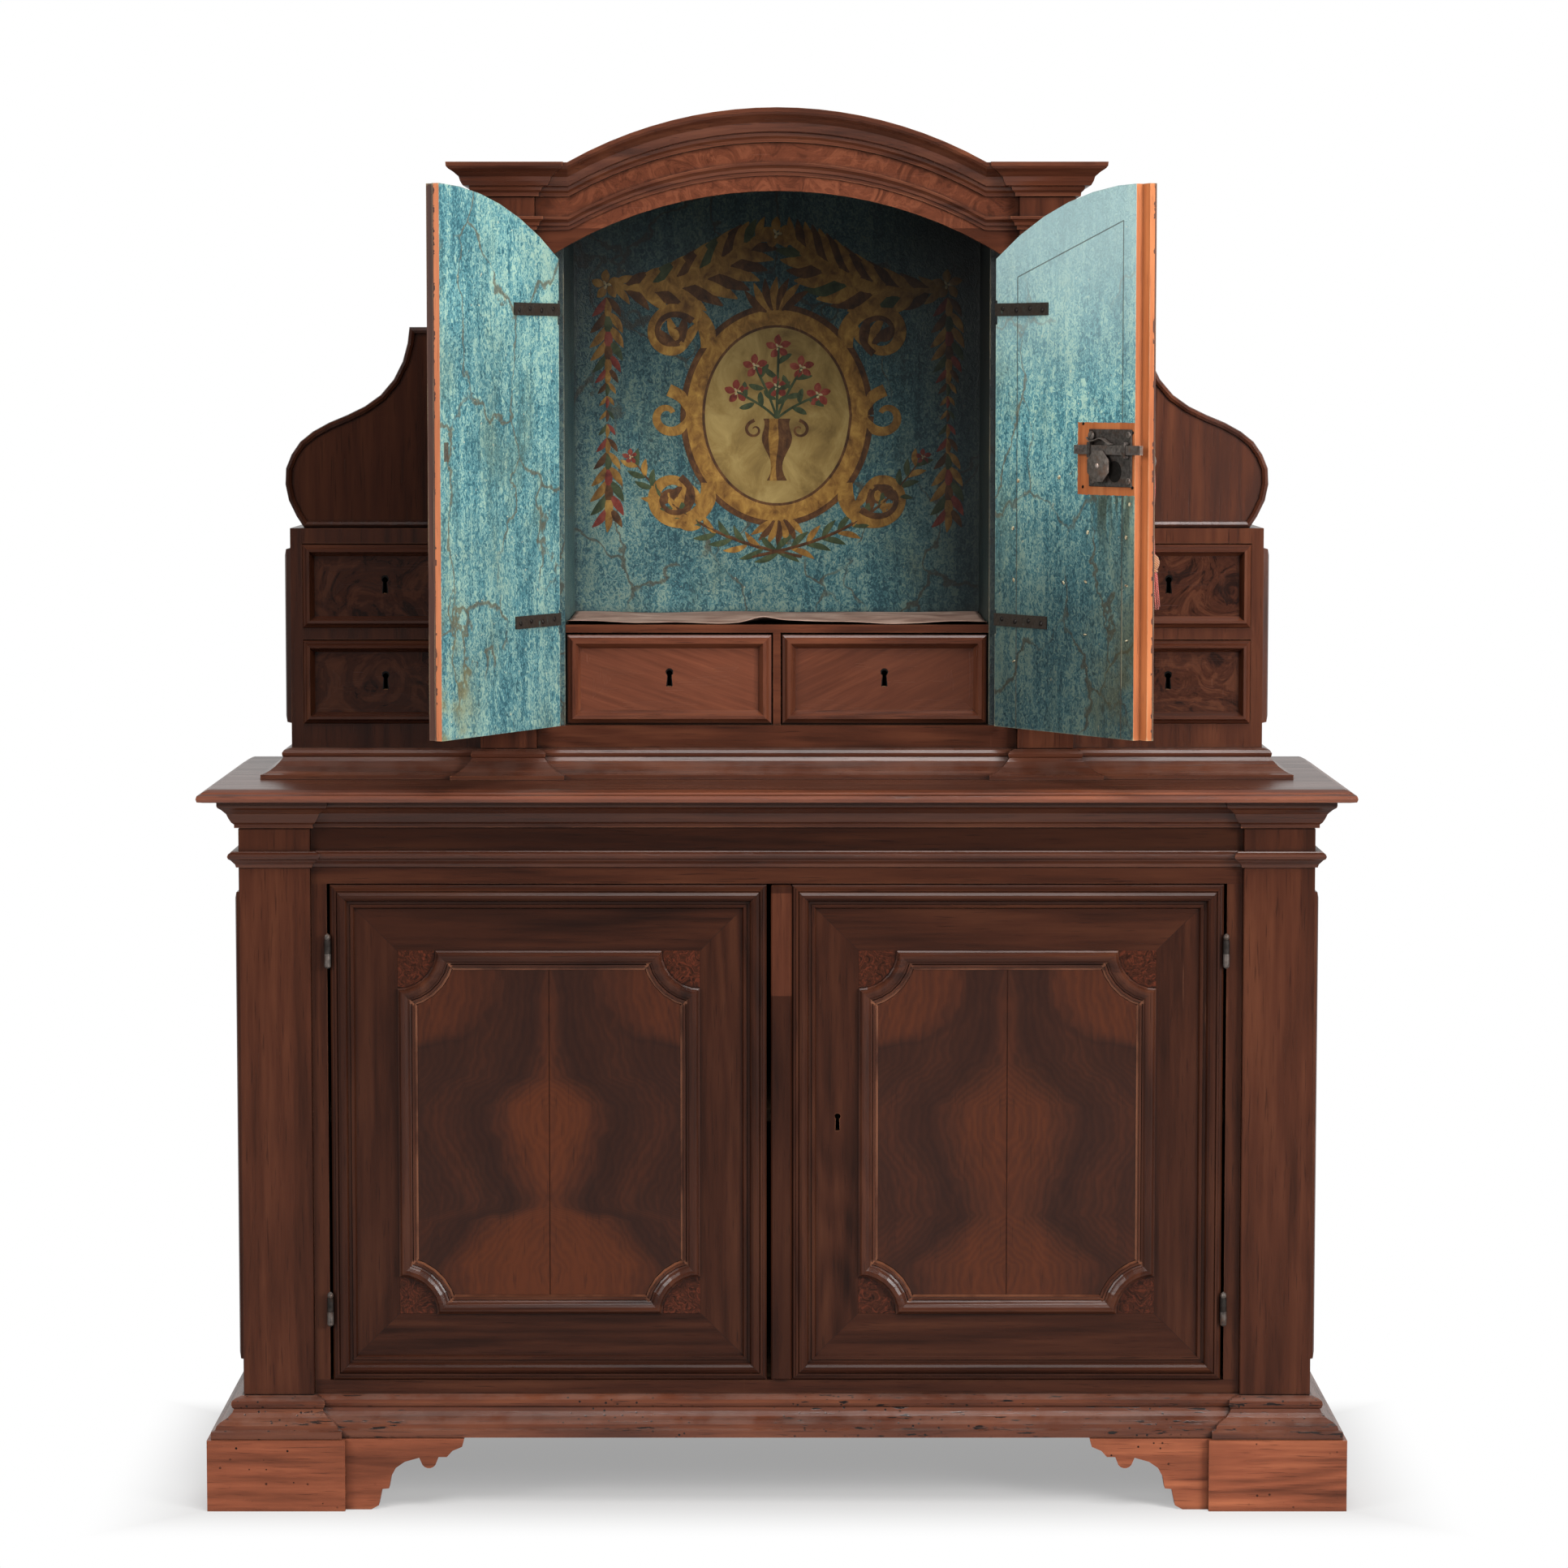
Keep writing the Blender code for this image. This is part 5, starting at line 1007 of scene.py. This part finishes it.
def tassel(red, gold):
    """Cord, turned head and thread skirt, hanging from the bow of the key."""
    x, y, z = HANG
    end, low_end = 1.3805, 1.3540
    fresh()
    bpy.ops.curve.primitive_nurbs_path_add(location=(0, 0, 0))
    line = bpy.context.object
    spline = line.data.splines[0]
    count = 18
    spline.points.add(count - len(spline.points))
    for k, point in enumerate(spline.points):
        t = k / (count - 1)
        sway = 0.0007 * math.sin(3.1 * t * math.pi)
        point.co = (x + sway, y - 0.6 * sway, z + (low_end - z) * t, 1)
        point.radius = 1
    spline.use_endpoint_u = True
    line.data.dimensions = "3D"
    line.data.bevel_depth = 0.0014
    line.data.bevel_resolution = 3
    line.data.use_fill_caps = True
    line.name = "tassel_cord"
    line.data.materials.append(red)
    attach(line, "tassel")
    profile = [(0.0012, 0.0), (0.0032, -0.002), (0.0068, -0.006), (0.0088, -0.012), (0.0085, -0.017),
               (0.0064, -0.022), (0.0052, -0.0235), (0.0066, -0.0245), (0.0066, -0.0265), (0.0050, -0.0275),
               (0.0010, -0.0280)]
    fresh()
    bpy.ops.mesh.primitive_circle_add(vertices=20, radius=1, location=(0, 0, 0))
    head = bpy.context.object
    verts = []
    faces = []
    for r, dz in profile:
        for k in range(20):
            a = 2 * math.pi * k / 20
            verts.append((x + r * math.cos(a), y + r * math.sin(a), end + dz + 0.002))
    for row in range(len(profile) - 1):
        for k in range(20):
            a, b = row * 20 + k, row * 20 + (k + 1) % 20
            faces.append((a, a + 20, b + 20, b))
    faces.append(tuple(range(20)))
    faces.append(tuple(range(len(verts) - 1, len(verts) - 21, -1)))
    head.data.clear_geometry()
    head.data.from_pydata(verts, [], faces)
    bpy.ops.object.shade_smooth_by_angle(angle=math.radians(50))
    head_piece = settle("tassel_head", gold, "tassel")
    strands = []
    for k in range(46):
        a = 2.39996 * k
        reach = math.sqrt((k + 0.5) / 46)
        top_r, low_r = 0.0048 * reach, 0.0098 * reach
        length = 0.0520 + 0.0022 * math.sin(5.1 * k)
        fresh()
        bpy.ops.mesh.primitive_cylinder_add(vertices=5, radius=0.00105, depth=1, end_fill_type="NGON")
        strand = bpy.context.object
        bpy.ops.object.mode_set(mode="EDIT")
        bpy.ops.mesh.select_all(action="SELECT")
        bpy.ops.mesh.subdivide(number_cuts=3)
        bpy.ops.object.mode_set(mode="OBJECT")
        for v in strand.data.vertices:
            t = 0.5 - v.co.z
            r = top_r + (low_r - top_r) * t ** 0.7
            swirl = a + 0.35 * t
            v.co.x = v.co.x + x + r * math.cos(swirl)
            v.co.y = v.co.y + y + r * math.sin(swirl)
            v.co.z = end - 0.0245 - length * t
        strands.append(strand)
    merge(strands, "tassel_skirt")
    bpy.ops.object.shade_smooth()
    skirt = settle("tassel_skirt", red, "tassel")
    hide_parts("tassel")


# Painted ornament of the niche: festoons, oval strapwork, urn of flowers, laurel
BACK_Y = 0.3318
made_strokes = {}


def stroke(kind, points, wide, taper=None, lift=0.0008):
    """One brush stroke of thick paint on the back board: x, z points, width along them, low relief."""
    fresh()
    bpy.ops.curve.primitive_nurbs_path_add(location=(0, 0, 0))
    path = bpy.context.object
    spline = path.data.splines[0]
    if len(points) > len(spline.points):
        spline.points.add(len(points) - len(spline.points))
    while len(points) < len(spline.points):
        points = [points[0]] + list(points)
        taper = ([taper[0]] + list(taper)) if taper else None
    for k, (x, z) in enumerate(points):
        spline.points[k].co = (x, 0, z, 1)
        spline.points[k].radius = taper[k] if taper else 1.0
    spline.use_endpoint_u = True
    spline.order_u = min(4, len(points))
    spline.resolution_u = 4
    path.data.dimensions = "3D"
    path.data.bevel_depth = wide / 2
    path.data.bevel_resolution = 1
    path.data.use_fill_caps = True
    bpy.ops.object.convert(target="MESH")
    shape = bpy.context.object
    squeeze = 2 * lift / wide
    for v in shape.data.vertices:
        v.co.y = BACK_Y - 0.0002 + min(0.0, v.co.y) * squeeze
    made_strokes.setdefault(kind, []).append(shape)
    return shape


def leaf(kind, x, z, length, wide, angle, lift=0.0009):
    dx, dz = math.cos(angle), math.sin(angle)
    bend = 0.10 * length
    pts = [(x, z), (x + dx * length * 0.33 - dz * bend, z + dz * length * 0.33 + dx * bend),
           (x + dx * length * 0.70 - dz * bend * 0.7, z + dz * length * 0.70 + dx * bend * 0.7),
           (x + dx * length, z + dz * length)]
    stroke(kind, pts, wide, [0.25, 1.0, 0.85, 0.08], lift)


def scroll(kind, x, z, size, start, turn, wide, lift=0.0010):
    """Rolled leaf: a spiral that thins towards its eye."""
    pts = []
    fat = []
    for k in range(14):
        t = k / 13
        r = size * (1 - 0.80 * t)
        a = start + turn * t * 2 * math.pi * 1.15
        pts.append((x + r * math.cos(a), z + r * math.sin(a)))
        fat.append(1.0 - 0.62 * t)
    stroke(kind, pts, wide, fat, lift)


def flower(x, z, size, kind="rose"):
    for k in range(5):
        a = 2 * math.pi * k / 5 + 0.3
        leaf(kind, x + 0.18 * size * math.cos(a), z + 0.18 * size * math.sin(a), size, size * 0.9, a, 0.0010)
    for k in range(3):
        a = 2 * math.pi * k / 3
        leaf("cream", x, z, size * 0.42, size * 0.28, a, 0.0012)


def festoon(x0, z0, x1, z1, sag, fat):
    """Swag of laid leaves between two points."""
    count = 13
    for k in range(count):
        t = (k + 0.5) / count
        x = x0 + (x1 - x0) * t
        z = z0 + (z1 - z0) * t - sag * 4 * t * (1 - t)
        slope = math.atan2((z1 - z0) - sag * 4 * (1 - 2 * t), x1 - x0)
        size = fat * (0.55 + 0.9 * math.sin(math.pi * t))
        kind = ("ochre", "umber", "ochre", "olive")[k % 4]
        leaf(kind, x, z, size, size * 0.42, slope + 0.6, 0.0009)
        leaf("umber" if k % 2 else "ochre", x, z, size, size * 0.40, slope - 0.6, 0.0008)
        leaf("ochre", x, z, size * 0.9, size * 0.34, slope, 0.0011)


def ring(kind, x, z, a, b, wide, lift, gaps=0):
    pts = []
    for k in range(33):
        t = 2 * math.pi * k / 32
        pts.append((x + a * math.cos(t), z + b * math.sin(t)))
    stroke(kind, pts, wide, None, lift)


def niche_ornament(colours):
    cx, cz = 0.0, 1.575
    fresh()
    bpy.ops.mesh.primitive_uv_sphere_add(segments=48, ring_count=16, radius=1, location=(cx, BACK_Y, cz))
    ground = bpy.context.object
    ground.scale = (0.094, 0.0005, 0.118)
    bpy.ops.object.transform_apply(location=True, rotation=True, scale=True)
    made_strokes.setdefault("parchment", []).append(ground)
    ring("umber", cx, cz, 0.102, 0.126, 0.034, 0.0008)
    ring("ochre", cx, cz, 0.100, 0.124, 0.022, 0.0012)
    for sx in (-1, 1):
        for sz in (-1, 1):
            start = math.radians(200 if sx > 0 else -20) * (1 if sz > 0 else -1)
            scroll("ochre", cx + sx * 0.122, cz + sz * 0.100, 0.044, start, -sx * sz, 0.024)
            scroll("umber", cx + sx * 0.125, cz + sz * 0.104, 0.028, start + 0.9, -sx * sz, 0.010, 0.0014)
            for k in range(4):
                a = math.radians(35 + 28 * k)
                leaf("ochre" if k % 2 else "umber", cx + sx * 0.110, cz + sz * 0.085, 0.050 - 0.004 * k, 0.016,
                     math.atan2(sz * math.sin(a), sx * math.cos(a)), 0.0008)
        scroll("ochre", cx + sx * 0.130, cz, 0.032, math.radians(90), sx, 0.018)
    for k in range(7):
        leaf("ochre" if k % 2 else "umber", cx, cz + 0.122, 0.052, 0.016, math.radians(42 + 16 * k), 0.0011)
        leaf("umber" if k % 2 else "ochre", cx, cz - 0.122, 0.042, 0.014, math.radians(-42 - 16 * k), 0.0010)
    urn = [(0.0, -0.082), (0.0, -0.066), (0.0, -0.046), (0.0, -0.026), (0.0, -0.012), (0.0, -0.004)]
    stroke("umber", [(cx + u, cz + v) for u, v in urn], 0.052, [0.55, 0.20, 0.62, 1.0, 0.62, 0.78], 0.0011)
    stroke("ochre", [(cx - 0.004 + u, cz + v) for u, v in urn], 0.024, [0.55, 0.20, 0.62, 1.0, 0.62, 0.78], 0.0014)
    for sx in (-1, 1):
        scroll("umber", cx + sx * 0.027, cz - 0.018, 0.012, math.radians(90), -sx, 0.005, 0.0011)
    stems = ((-0.048, 0.030), (-0.026, 0.062), (0.002, 0.086), (0.030, 0.060), (0.050, 0.026), (0.0, 0.036))
    for u, v in stems:
        stroke("olive", [(cx, cz - 0.004), (cx + u * 0.3, cz + v * 0.4), (cx + u * 0.8, cz + v * 0.8), (cx + u, cz + v)],
               0.0035, None, 0.0008)
        for k in range(3):
            t = 0.35 + 0.2 * k
            a = math.atan2(v, u) + (0.9 if k % 2 else -0.9)
            leaf("olive", cx + u * t, cz + v * t, 0.022, 0.010, a, 0.0009)
    for u, v in stems:
        flower(cx + u, cz + v, 0.0135)
    for sx in (-1, 1):
        pts = [(cx - sx * 0.030, cz - 0.178), (cx + sx * 0.030, cz - 0.166), (cx + sx * 0.090, cz - 0.142),
               (cx + sx * 0.140, cz - 0.104), (cx + sx * 0.170, cz - 0.060)]
        stroke("umber", pts, 0.0045, [1, 1, 0.9, 0.7, 0.4], 0.0008)
        for k in range(12):
            t = 0.12 + 0.86 * k / 11
            j = min(3, int(t * 4))
            f = t * 4 - j
            px = pts[j][0] + (pts[j + 1][0] - pts[j][0]) * f
            pz = pts[j][1] + (pts[j + 1][1] - pts[j][1]) * f
            slope = math.atan2(pts[j + 1][1] - pts[j][1], pts[j + 1][0] - pts[j][0])
            for s in (-1, 1):
                leaf("olive" if (k + s) % 3 else "ochre", px, pz, 0.031 - 0.0008 * k, 0.0105, slope + s * 0.62, 0.0009)
        flower(cx + sx * 0.176, cz - 0.052, 0.009, "rose")
    for shapes in made_strokes.values():
        for shape in shapes:
            for v in shape.data.vertices:
                v.co.x = cx + 1.28 * (v.co.x - cx)
                v.co.z = cz + 1.22 * (v.co.z - cz)
    for sx in (-1, 1):
        flower(cx + sx * 0.262, 1.775, 0.020, "ochre")
        for k in range(16):
            z = 1.755 - 0.0215 * k
            fat = 0.030 + 0.012 * math.sin(0.55 * k + 0.5)
            for s in (-1, 0, 1):
                kind = ("ochre", "umber", "olive", "ochre", "rose")[(k * 2 + s) % 5]
                leaf(kind, cx + sx * 0.262, z, fat, fat * 0.42, math.radians(-90 + 38 * s), 0.0009 + 0.0002 * (s == 0))
        festoon(cx + sx * 0.262, 1.775, cx + sx * 0.020, 1.850, 0.034, 0.058)
    flower(cx, 1.853, 0.022, "ochre")
    for kind, shapes in made_strokes.items():
        if len(shapes) > 1:
            merge(shapes, "ornament_" + kind)
        else:
            fresh()
            shapes[0].select_set(True)
            bpy.context.view_layer.objects.active = shapes[0]
        bpy.ops.object.shade_smooth_by_angle(angle=math.radians(60))
        settle("ornament_" + kind, colours[kind], "carcass")


# Floor, light and camera
def stage_light():
    """Pale floor, greyer near the cabinet as painted shade and whitening away from it, white surround and soft lamps,
    the main one from the right.
    """
    world = bpy.data.worlds.new("surround")
    bpy.context.scene.world = world
    world.use_nodes = True
    tree = world.node_tree
    tree.nodes.clear()
    rays = add(tree, "LightPath").outputs
    seen = calc(tree, "MAXIMUM", rays["Is Camera Ray"], rays["Is Transmission Ray"])
    soft = add(tree, "Background", {"Color": (1.0, 0.99, 0.98, 1), "Strength": 0.36})
    behind = split(tree, add(tree, "TexCoord").outputs["Generated"])[1]
    dim = add(tree, "Background", {"Color": (1.0, 0.99, 0.98, 1), "Strength": between(tree, behind, -0.1, 0.7, 0.14, 0.75)})
    white = add(tree, "Background", {"Color": (1, 1, 1, 1), "Strength": 1.0})
    lit = add(tree, "MixShader", {0: rays["Is Glossy Ray"], 1: soft.outputs[0], 2: dim.outputs[0]})
    both = add(tree, "MixShader", {0: seen, 1: lit.outputs[0], 2: white.outputs[0]})
    put(tree, both.outputs[0], add(tree, "OutputWorld").inputs[0])
    fresh()
    bpy.ops.mesh.primitive_plane_add(size=60, location=(0, 0, 0))
    floor = bpy.context.object
    floor.name = "floor"
    mat = bpy.data.materials.new("floor_paper")
    mat.use_nodes = True
    tree = mat.node_tree
    tree.nodes.clear()
    rays = add(tree, "LightPath").outputs
    seen = calc(tree, "MAXIMUM", rays["Is Camera Ray"], rays["Is Transmission Ray"])
    seen = calc(tree, "MAXIMUM", seen, calc(tree, "MULTIPLY", rays["Is Glossy Ray"], 0.12))
    x, y, z = split(tree, object_place(tree))
    dx = calc(tree, "SUBTRACT", calc(tree, "ABSOLUTE", x), 0.78)
    dy = calc(tree, "SUBTRACT", calc(tree, "ABSOLUTE", calc(tree, "SUBTRACT", y, 0.05)), 0.24)
    # painted shade: the floor is greyer near and under the cabinet and turns white further off
    floor_shade_fade = between(tree, calc(tree, "MAXIMUM", dx, dy), -0.02, 0.22, 0.34, 1.0)
    paper = add(tree, "BsdfDiffuse", {"Color": (0.46, 0.455, 0.45, 1)})
    glow = add(tree, "Emission", {"Color": (1, 1, 1, 1), "Strength": 1.0})
    both = add(tree, "MixShader", {0: calc(tree, "MULTIPLY", seen, floor_shade_fade), 1: paper.outputs[0], 2: glow.outputs[0]})
    put(tree, both.outputs[0], add(tree, "OutputMaterial").inputs[0])
    floor.data.materials.append(mat)
    lamps = (("key", (4.4, -4.5, 2.8), 2.2, 410), ("fill", (-4.6, -4.4, 3.3), 2.2, 225), ("top", (0.5, -3.0, 5.2), 2.2, 190))
    for name, spot, size, power in lamps:
        bpy.ops.object.light_add(type="AREA", location=spot)
        lamp = bpy.context.object
        lamp.name = "lamp_" + name
        lamp.data.shape = "SQUARE"
        lamp.data.size = size
        lamp.data.energy = power
        aim = Vector((0, 0, 1.0)) - Vector(spot)
        lamp.rotation_euler = aim.to_track_quat("-Z", "Y").to_euler()


def camera():
    bpy.ops.object.camera_add(location=(0, -6.8715, 1.6321), rotation=(math.radians(85.0285), 0, 0))
    cam = bpy.context.object
    cam.data.lens = 107.087
    cam.data.shift_x = 0.00453
    bpy.context.scene.camera = cam


def coat(material, *names):
    """Give CAD pieces their finish."""
    for name in names:
        mesh = nodes[name].data
        mesh.materials.clear()
        mesh.materials.append(material)


def pair(name, end=""):
    return name + "_left" + end, name + "_right" + end


def dress_cabinet():
    hinge_iron = iron("hinge_iron", tone=0.30)
    strap_iron = iron("painted_strap_iron", 0.36, brown=0.3, tone=0.4)
    lock_iron = iron("lock_iron", tone=0.85)
    fitting_iron = iron("fitting_iron", bright=1.6, brown=0.2, tone=1.7)
    worn_iron = iron("worn_iron", bright=2.2, tone=1.35)
    brass = iron("rivet_iron", bright=2.6, brown=0.1, tone=4.0)
    coat(walnut("pilaster_walnut", tone=0.86, figure=5.5, lines=3.0, move=(0.3, 0, 0)), *pair("lower_pilaster"))
    coat(walnut("side_walnut", tone=0.9, move=(0.1, 0.4, 0)), *pair("lower_side"))

    def rails(tree, place):
        z = split(tree, place)[2]
        level = calc(tree, "MAXIMUM", calc(tree, "GREATER_THAN", z, 0.9057), calc(tree, "LESS_THAN", z, 0.1808))
        return pick(tree, level, place, across(tree, place))

    def on_frame(tree, place):
        return calc(tree, "LESS_THAN", split(tree, place)[1], -0.1847)

    def on_pilaster(tree, place):
        return calc(tree, "LESS_THAN", calc(tree, "ABSOLUTE", split(tree, place)[0]), 0.3526)

    coat(walnut("frame_walnut", rails, 0.66, iron_where=on_frame, patch=(0.64, 0.955, 1.0)), "lower_face_frame")
    # the worktop's top faces are darkened as painted shade
    coat(walnut("worktop_walnut", wrapped, 2.15, rough=0.28, rub_and_glint=0.9, move=(0, 0, 0.7), shine=0.45, top=0.50), "worktop")
    coat(walnut("cornice_walnut", wrapped, 0.92, rub_and_glint=0.9, shine=0.35), "lower_cornice", "lower_astragal")
    coat(walnut("plinth_walnut", wrapped, 1.15, rub_and_glint=0.9, dust_and_toplight=0.08, move=(0, 0, 1.3), shine=0.35), "upper_plinth")
    coat(walnut("base_walnut", wrapped, 1.50, 3.0, 14.0, worm=0.90, rub_and_glint=0.9, dirt_and_shade=0.95, dust_and_toplight=0.12, move=(0, 0, 2.1), shine=0.4), "base_moulding")
    coat(walnut("foot_walnut", wrapped, 3.45, 3.0, 16.0, worm=0.45, rub_and_glint=0.3, dirt_and_shade=0.6), *pair("foot_front"))
    coat(walnut("rear_foot_walnut", back_to_front, 1.6, 3.0, 9.0, worm=0.4), *pair("foot_rear"))
    left_heart = ((0.304, 0.150), (0.349, 0.152), (0.384, 0.138), (0.418, 0.105), (0.434, 0.040), (0.447, 0.036),
                  (0.474, 0.056), (0.509, 0.070), (0.545, 0.086), (0.580, 0.090), (0.604, 0.068), (0.622, 0.036),
                  (0.646, 0.026), (0.705, 0.014), (0.777, 0.006))
    right_heart = ((0.304, 0.130), (0.352, 0.132), (0.388, 0.100), (0.425, 0.055), (0.470, 0.070), (0.530, 0.100),
                   (0.580, 0.104), (0.612, 0.066), (0.642, 0.030), (0.705, 0.016), (0.777, 0.008))
    doors = (("left", -0.3296, 1.0, left_heart, 0.90, 0.074), ("right", 0.3331, 1.12, right_heart, 0.60, 0.062))
    for side, seam, tone, heart, gain, shoulder in doors:
        leaf_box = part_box("lower_door_" + side)
        mould = "lower_panel_moulding_" + side
        body = "lower_door_" + side
        coat(door_frame("leaf_walnut_" + side, *leaf_box, tone=0.50 * tone), body)
        coat(walnut("panel_moulding_walnut_" + side, mitred(*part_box(mould)), 0.66 * tone, rub_and_glint=0.45, dirt_and_shade=0.9, shine=0.20), mould)
        boards = bookmatched("panel_walnut_" + side, seam, heart, gain, shoulder, tone)
        panel_boards(side, mould, seam, boards, body)
        corner_pieces(side, mould, burl("corner_root_" + side, 0.58, 30.0, red=1.5), body)
    coat(walnut("batten_walnut", tone=0.45, rub_and_glint=0.9, patch=(2.2, 0.744, 0.893)), "meeting_batten")
    coat(hinge_iron, *pair("lower_hinge", "_high"), *pair("lower_hinge", "_low"))
    coat(secondary("inside_boards", 0.9, across), "bottom_board", "lower_shelf", "roof_board", "niche_floor")
    coat(secondary("back_boards", 0.8), "lower_back")
    coat(walnut("flank_walnut", tone=0.8), *pair("tabernacle_side"))
    # painted light and shade: the right-hand case and wing take lighter walnut and the left-hand ones darker, as lit
    # from the right
    coat(walnut("case_walnut_painted_shade", tone=0.50, move=(0.2, 0, 0.9), shine=0.25), "side_case_left")
    coat(walnut("case_walnut_painted_light", tone=1.10, move=(0.7, 0, 0.9), shine=0.25), "side_case_right")
    coat(walnut("wing_walnut_painted_shade", tone=0.38, move=(0.6, 0, 0.2), rub_and_glint=0.8), "scroll_wing_left")
    coat(walnut("wing_walnut_painted_light", tone=1.15, move=(0.9, 0, 0.2), rub_and_glint=0.8, shine=0.4), "scroll_wing_right")
    coat(walnut("shaft_walnut", tone=1.1, move=(0.5, 0, 0.3), iron_where=on_pilaster), *pair("upper_pilaster"))
    coat(arch_wood("arch_root", 1.0, 1.65), "arch_head")
    coat(walnut("arch_walnut", wrapped, 1.25, rub_and_glint=1.0, dirt_and_shade=1.0, dust_and_toplight=0.10, shine=0.28), "arch_cornice", "arch_architrave")
    coat(walnut("shelf_walnut", across, 1.3), "niche_shelf")
    # painted light and shade: the right side drawers are lighter than the left ones, the left inner drawer lighter
    # than the right one
    for side in ("left", "right"):
        for level in ("high", "low"):
            name = "side_drawer_%s_%s" % (side, level)
            coat(drawer_wood(name + "_walnut", *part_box(name), SIDE_FIELD_Y, *((0.60, 0.40) if side == "left" else (1.25, 0.80)), 10.0, -0.0205,
                             shine=0.22), name)
        name = "inner_drawer_" + side
        coat(drawer_wood(name + "_walnut", *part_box(name), INNER_FIELD_Y, *((1.7, 2.1) if side == "left" else (1.3, 1.4)), 17.0, 0.0095,
                         0.95 if side == "left" else -0.8, shine=0.28), name)
    coat(strap_iron, "strap_left_high", "strap_left_low", "strap_right_high", "strap_right_low")
    coat(lock_iron, "lock_plate")
    coat(worn_iron, "lock_bolt", "key")
    plate = (-0.3500, -0.1989, 1.4660, 1.5713)
    # the upper doors are painted lighter at the top and darker below: painted light and shade
    coat(painted("door_paint_left", 5.0, (1.10, 1.90, 0.78, 0.99), leaf_layers(HINGE_L, OPEN_L, 0.0146, (0.87, 0.74, 0.69), 1.42, keeper=(0.310, 0.321, 1.516, 1.542)), (0.7, 0.2, 0.4)),
         "upper_door_left")
    coat(painted("door_paint_right", 5.0, (1.22, 1.64, 0.26, 1.25), leaf_layers(HINGE_R, OPEN_R, 0.0030, (0.83, 0.68, 0.50), 1.55, plate), (2.3, 1.1, 0.9), 0.75),
         "upper_door_right")
    # the niche is painted darker towards its top and its sides: painted shade
    coat(painted("niche_paint", 5.5, (1.35, 1.84, 0.70, 0.12), None, (0.2, 0.0, 1.7), side_shade=0.10), "painted_back", *pair("niche_wall"))
    coat(hinge_iron, "tassel")
    strap_nails("left", HINGE_L, OPEN_L, hinge_iron, "upper_door_left")
    strap_nails("right", HINGE_R, OPEN_R, hinge_iron, "upper_door_right")
    # the near-black iron serves the pins and the painted shadow disc on the lock
    lock_fittings(fitting_iron, brass, iron("black_iron_and_shadow", tone=0.12), "upper_door_right")
    clenched_nails(pigment("chipped_paint", [(0.42, (0.10, 0.05, 0.03)), (0.5, (0.34, 0.28, 0.16)), (0.6, (0.55, 0.50, 0.34))], 260.0, 1.0), "upper_door_right")
    shelf_lining(dusty_leather("lining_leather"))
    niche_ornament({
        "ochre": pigment("ochre_paint", [(0.3, (0.120, 0.050, 0.010)), (0.5, (0.300, 0.150, 0.028)), (0.7, (0.50, 0.285, 0.062))]),
        "umber": pigment("umber_paint", [(0.3, (0.030, 0.012, 0.005)), (0.5, (0.090, 0.036, 0.011)), (0.7, (0.185, 0.080, 0.022))]),
        "olive": pigment("olive_paint", [(0.3, (0.018, 0.030, 0.012)), (0.5, (0.050, 0.072, 0.030)), (0.7, (0.105, 0.125, 0.052))]),
        "rose": pigment("red_paint", [(0.3, (0.100, 0.014, 0.010)), (0.5, (0.230, 0.036, 0.022)), (0.7, (0.340, 0.085, 0.052))]),
        "cream": pigment("cream_paint", [(0.3, (0.28, 0.21, 0.095)), (0.5, (0.48, 0.39, 0.20)), (0.7, (0.62, 0.54, 0.33))]),
        "parchment": pigment("parchment_paint", [(0.3, (0.170, 0.105, 0.028)), (0.5, (0.310, 0.205, 0.060)), (0.7, (0.45, 0.32, 0.110))], 22.0)})
    tassel(thread("red_thread", (0.34, 0.016, 0.018), (0.50, 0.15, 0.11)), thread("gold_thread", (0.30, 0.030, 0.026), (0.45, 0.28, 0.12)))


bpy.context.scene.view_settings.view_transform = "Standard"
stage_light()
camera()
dress_cabinet()
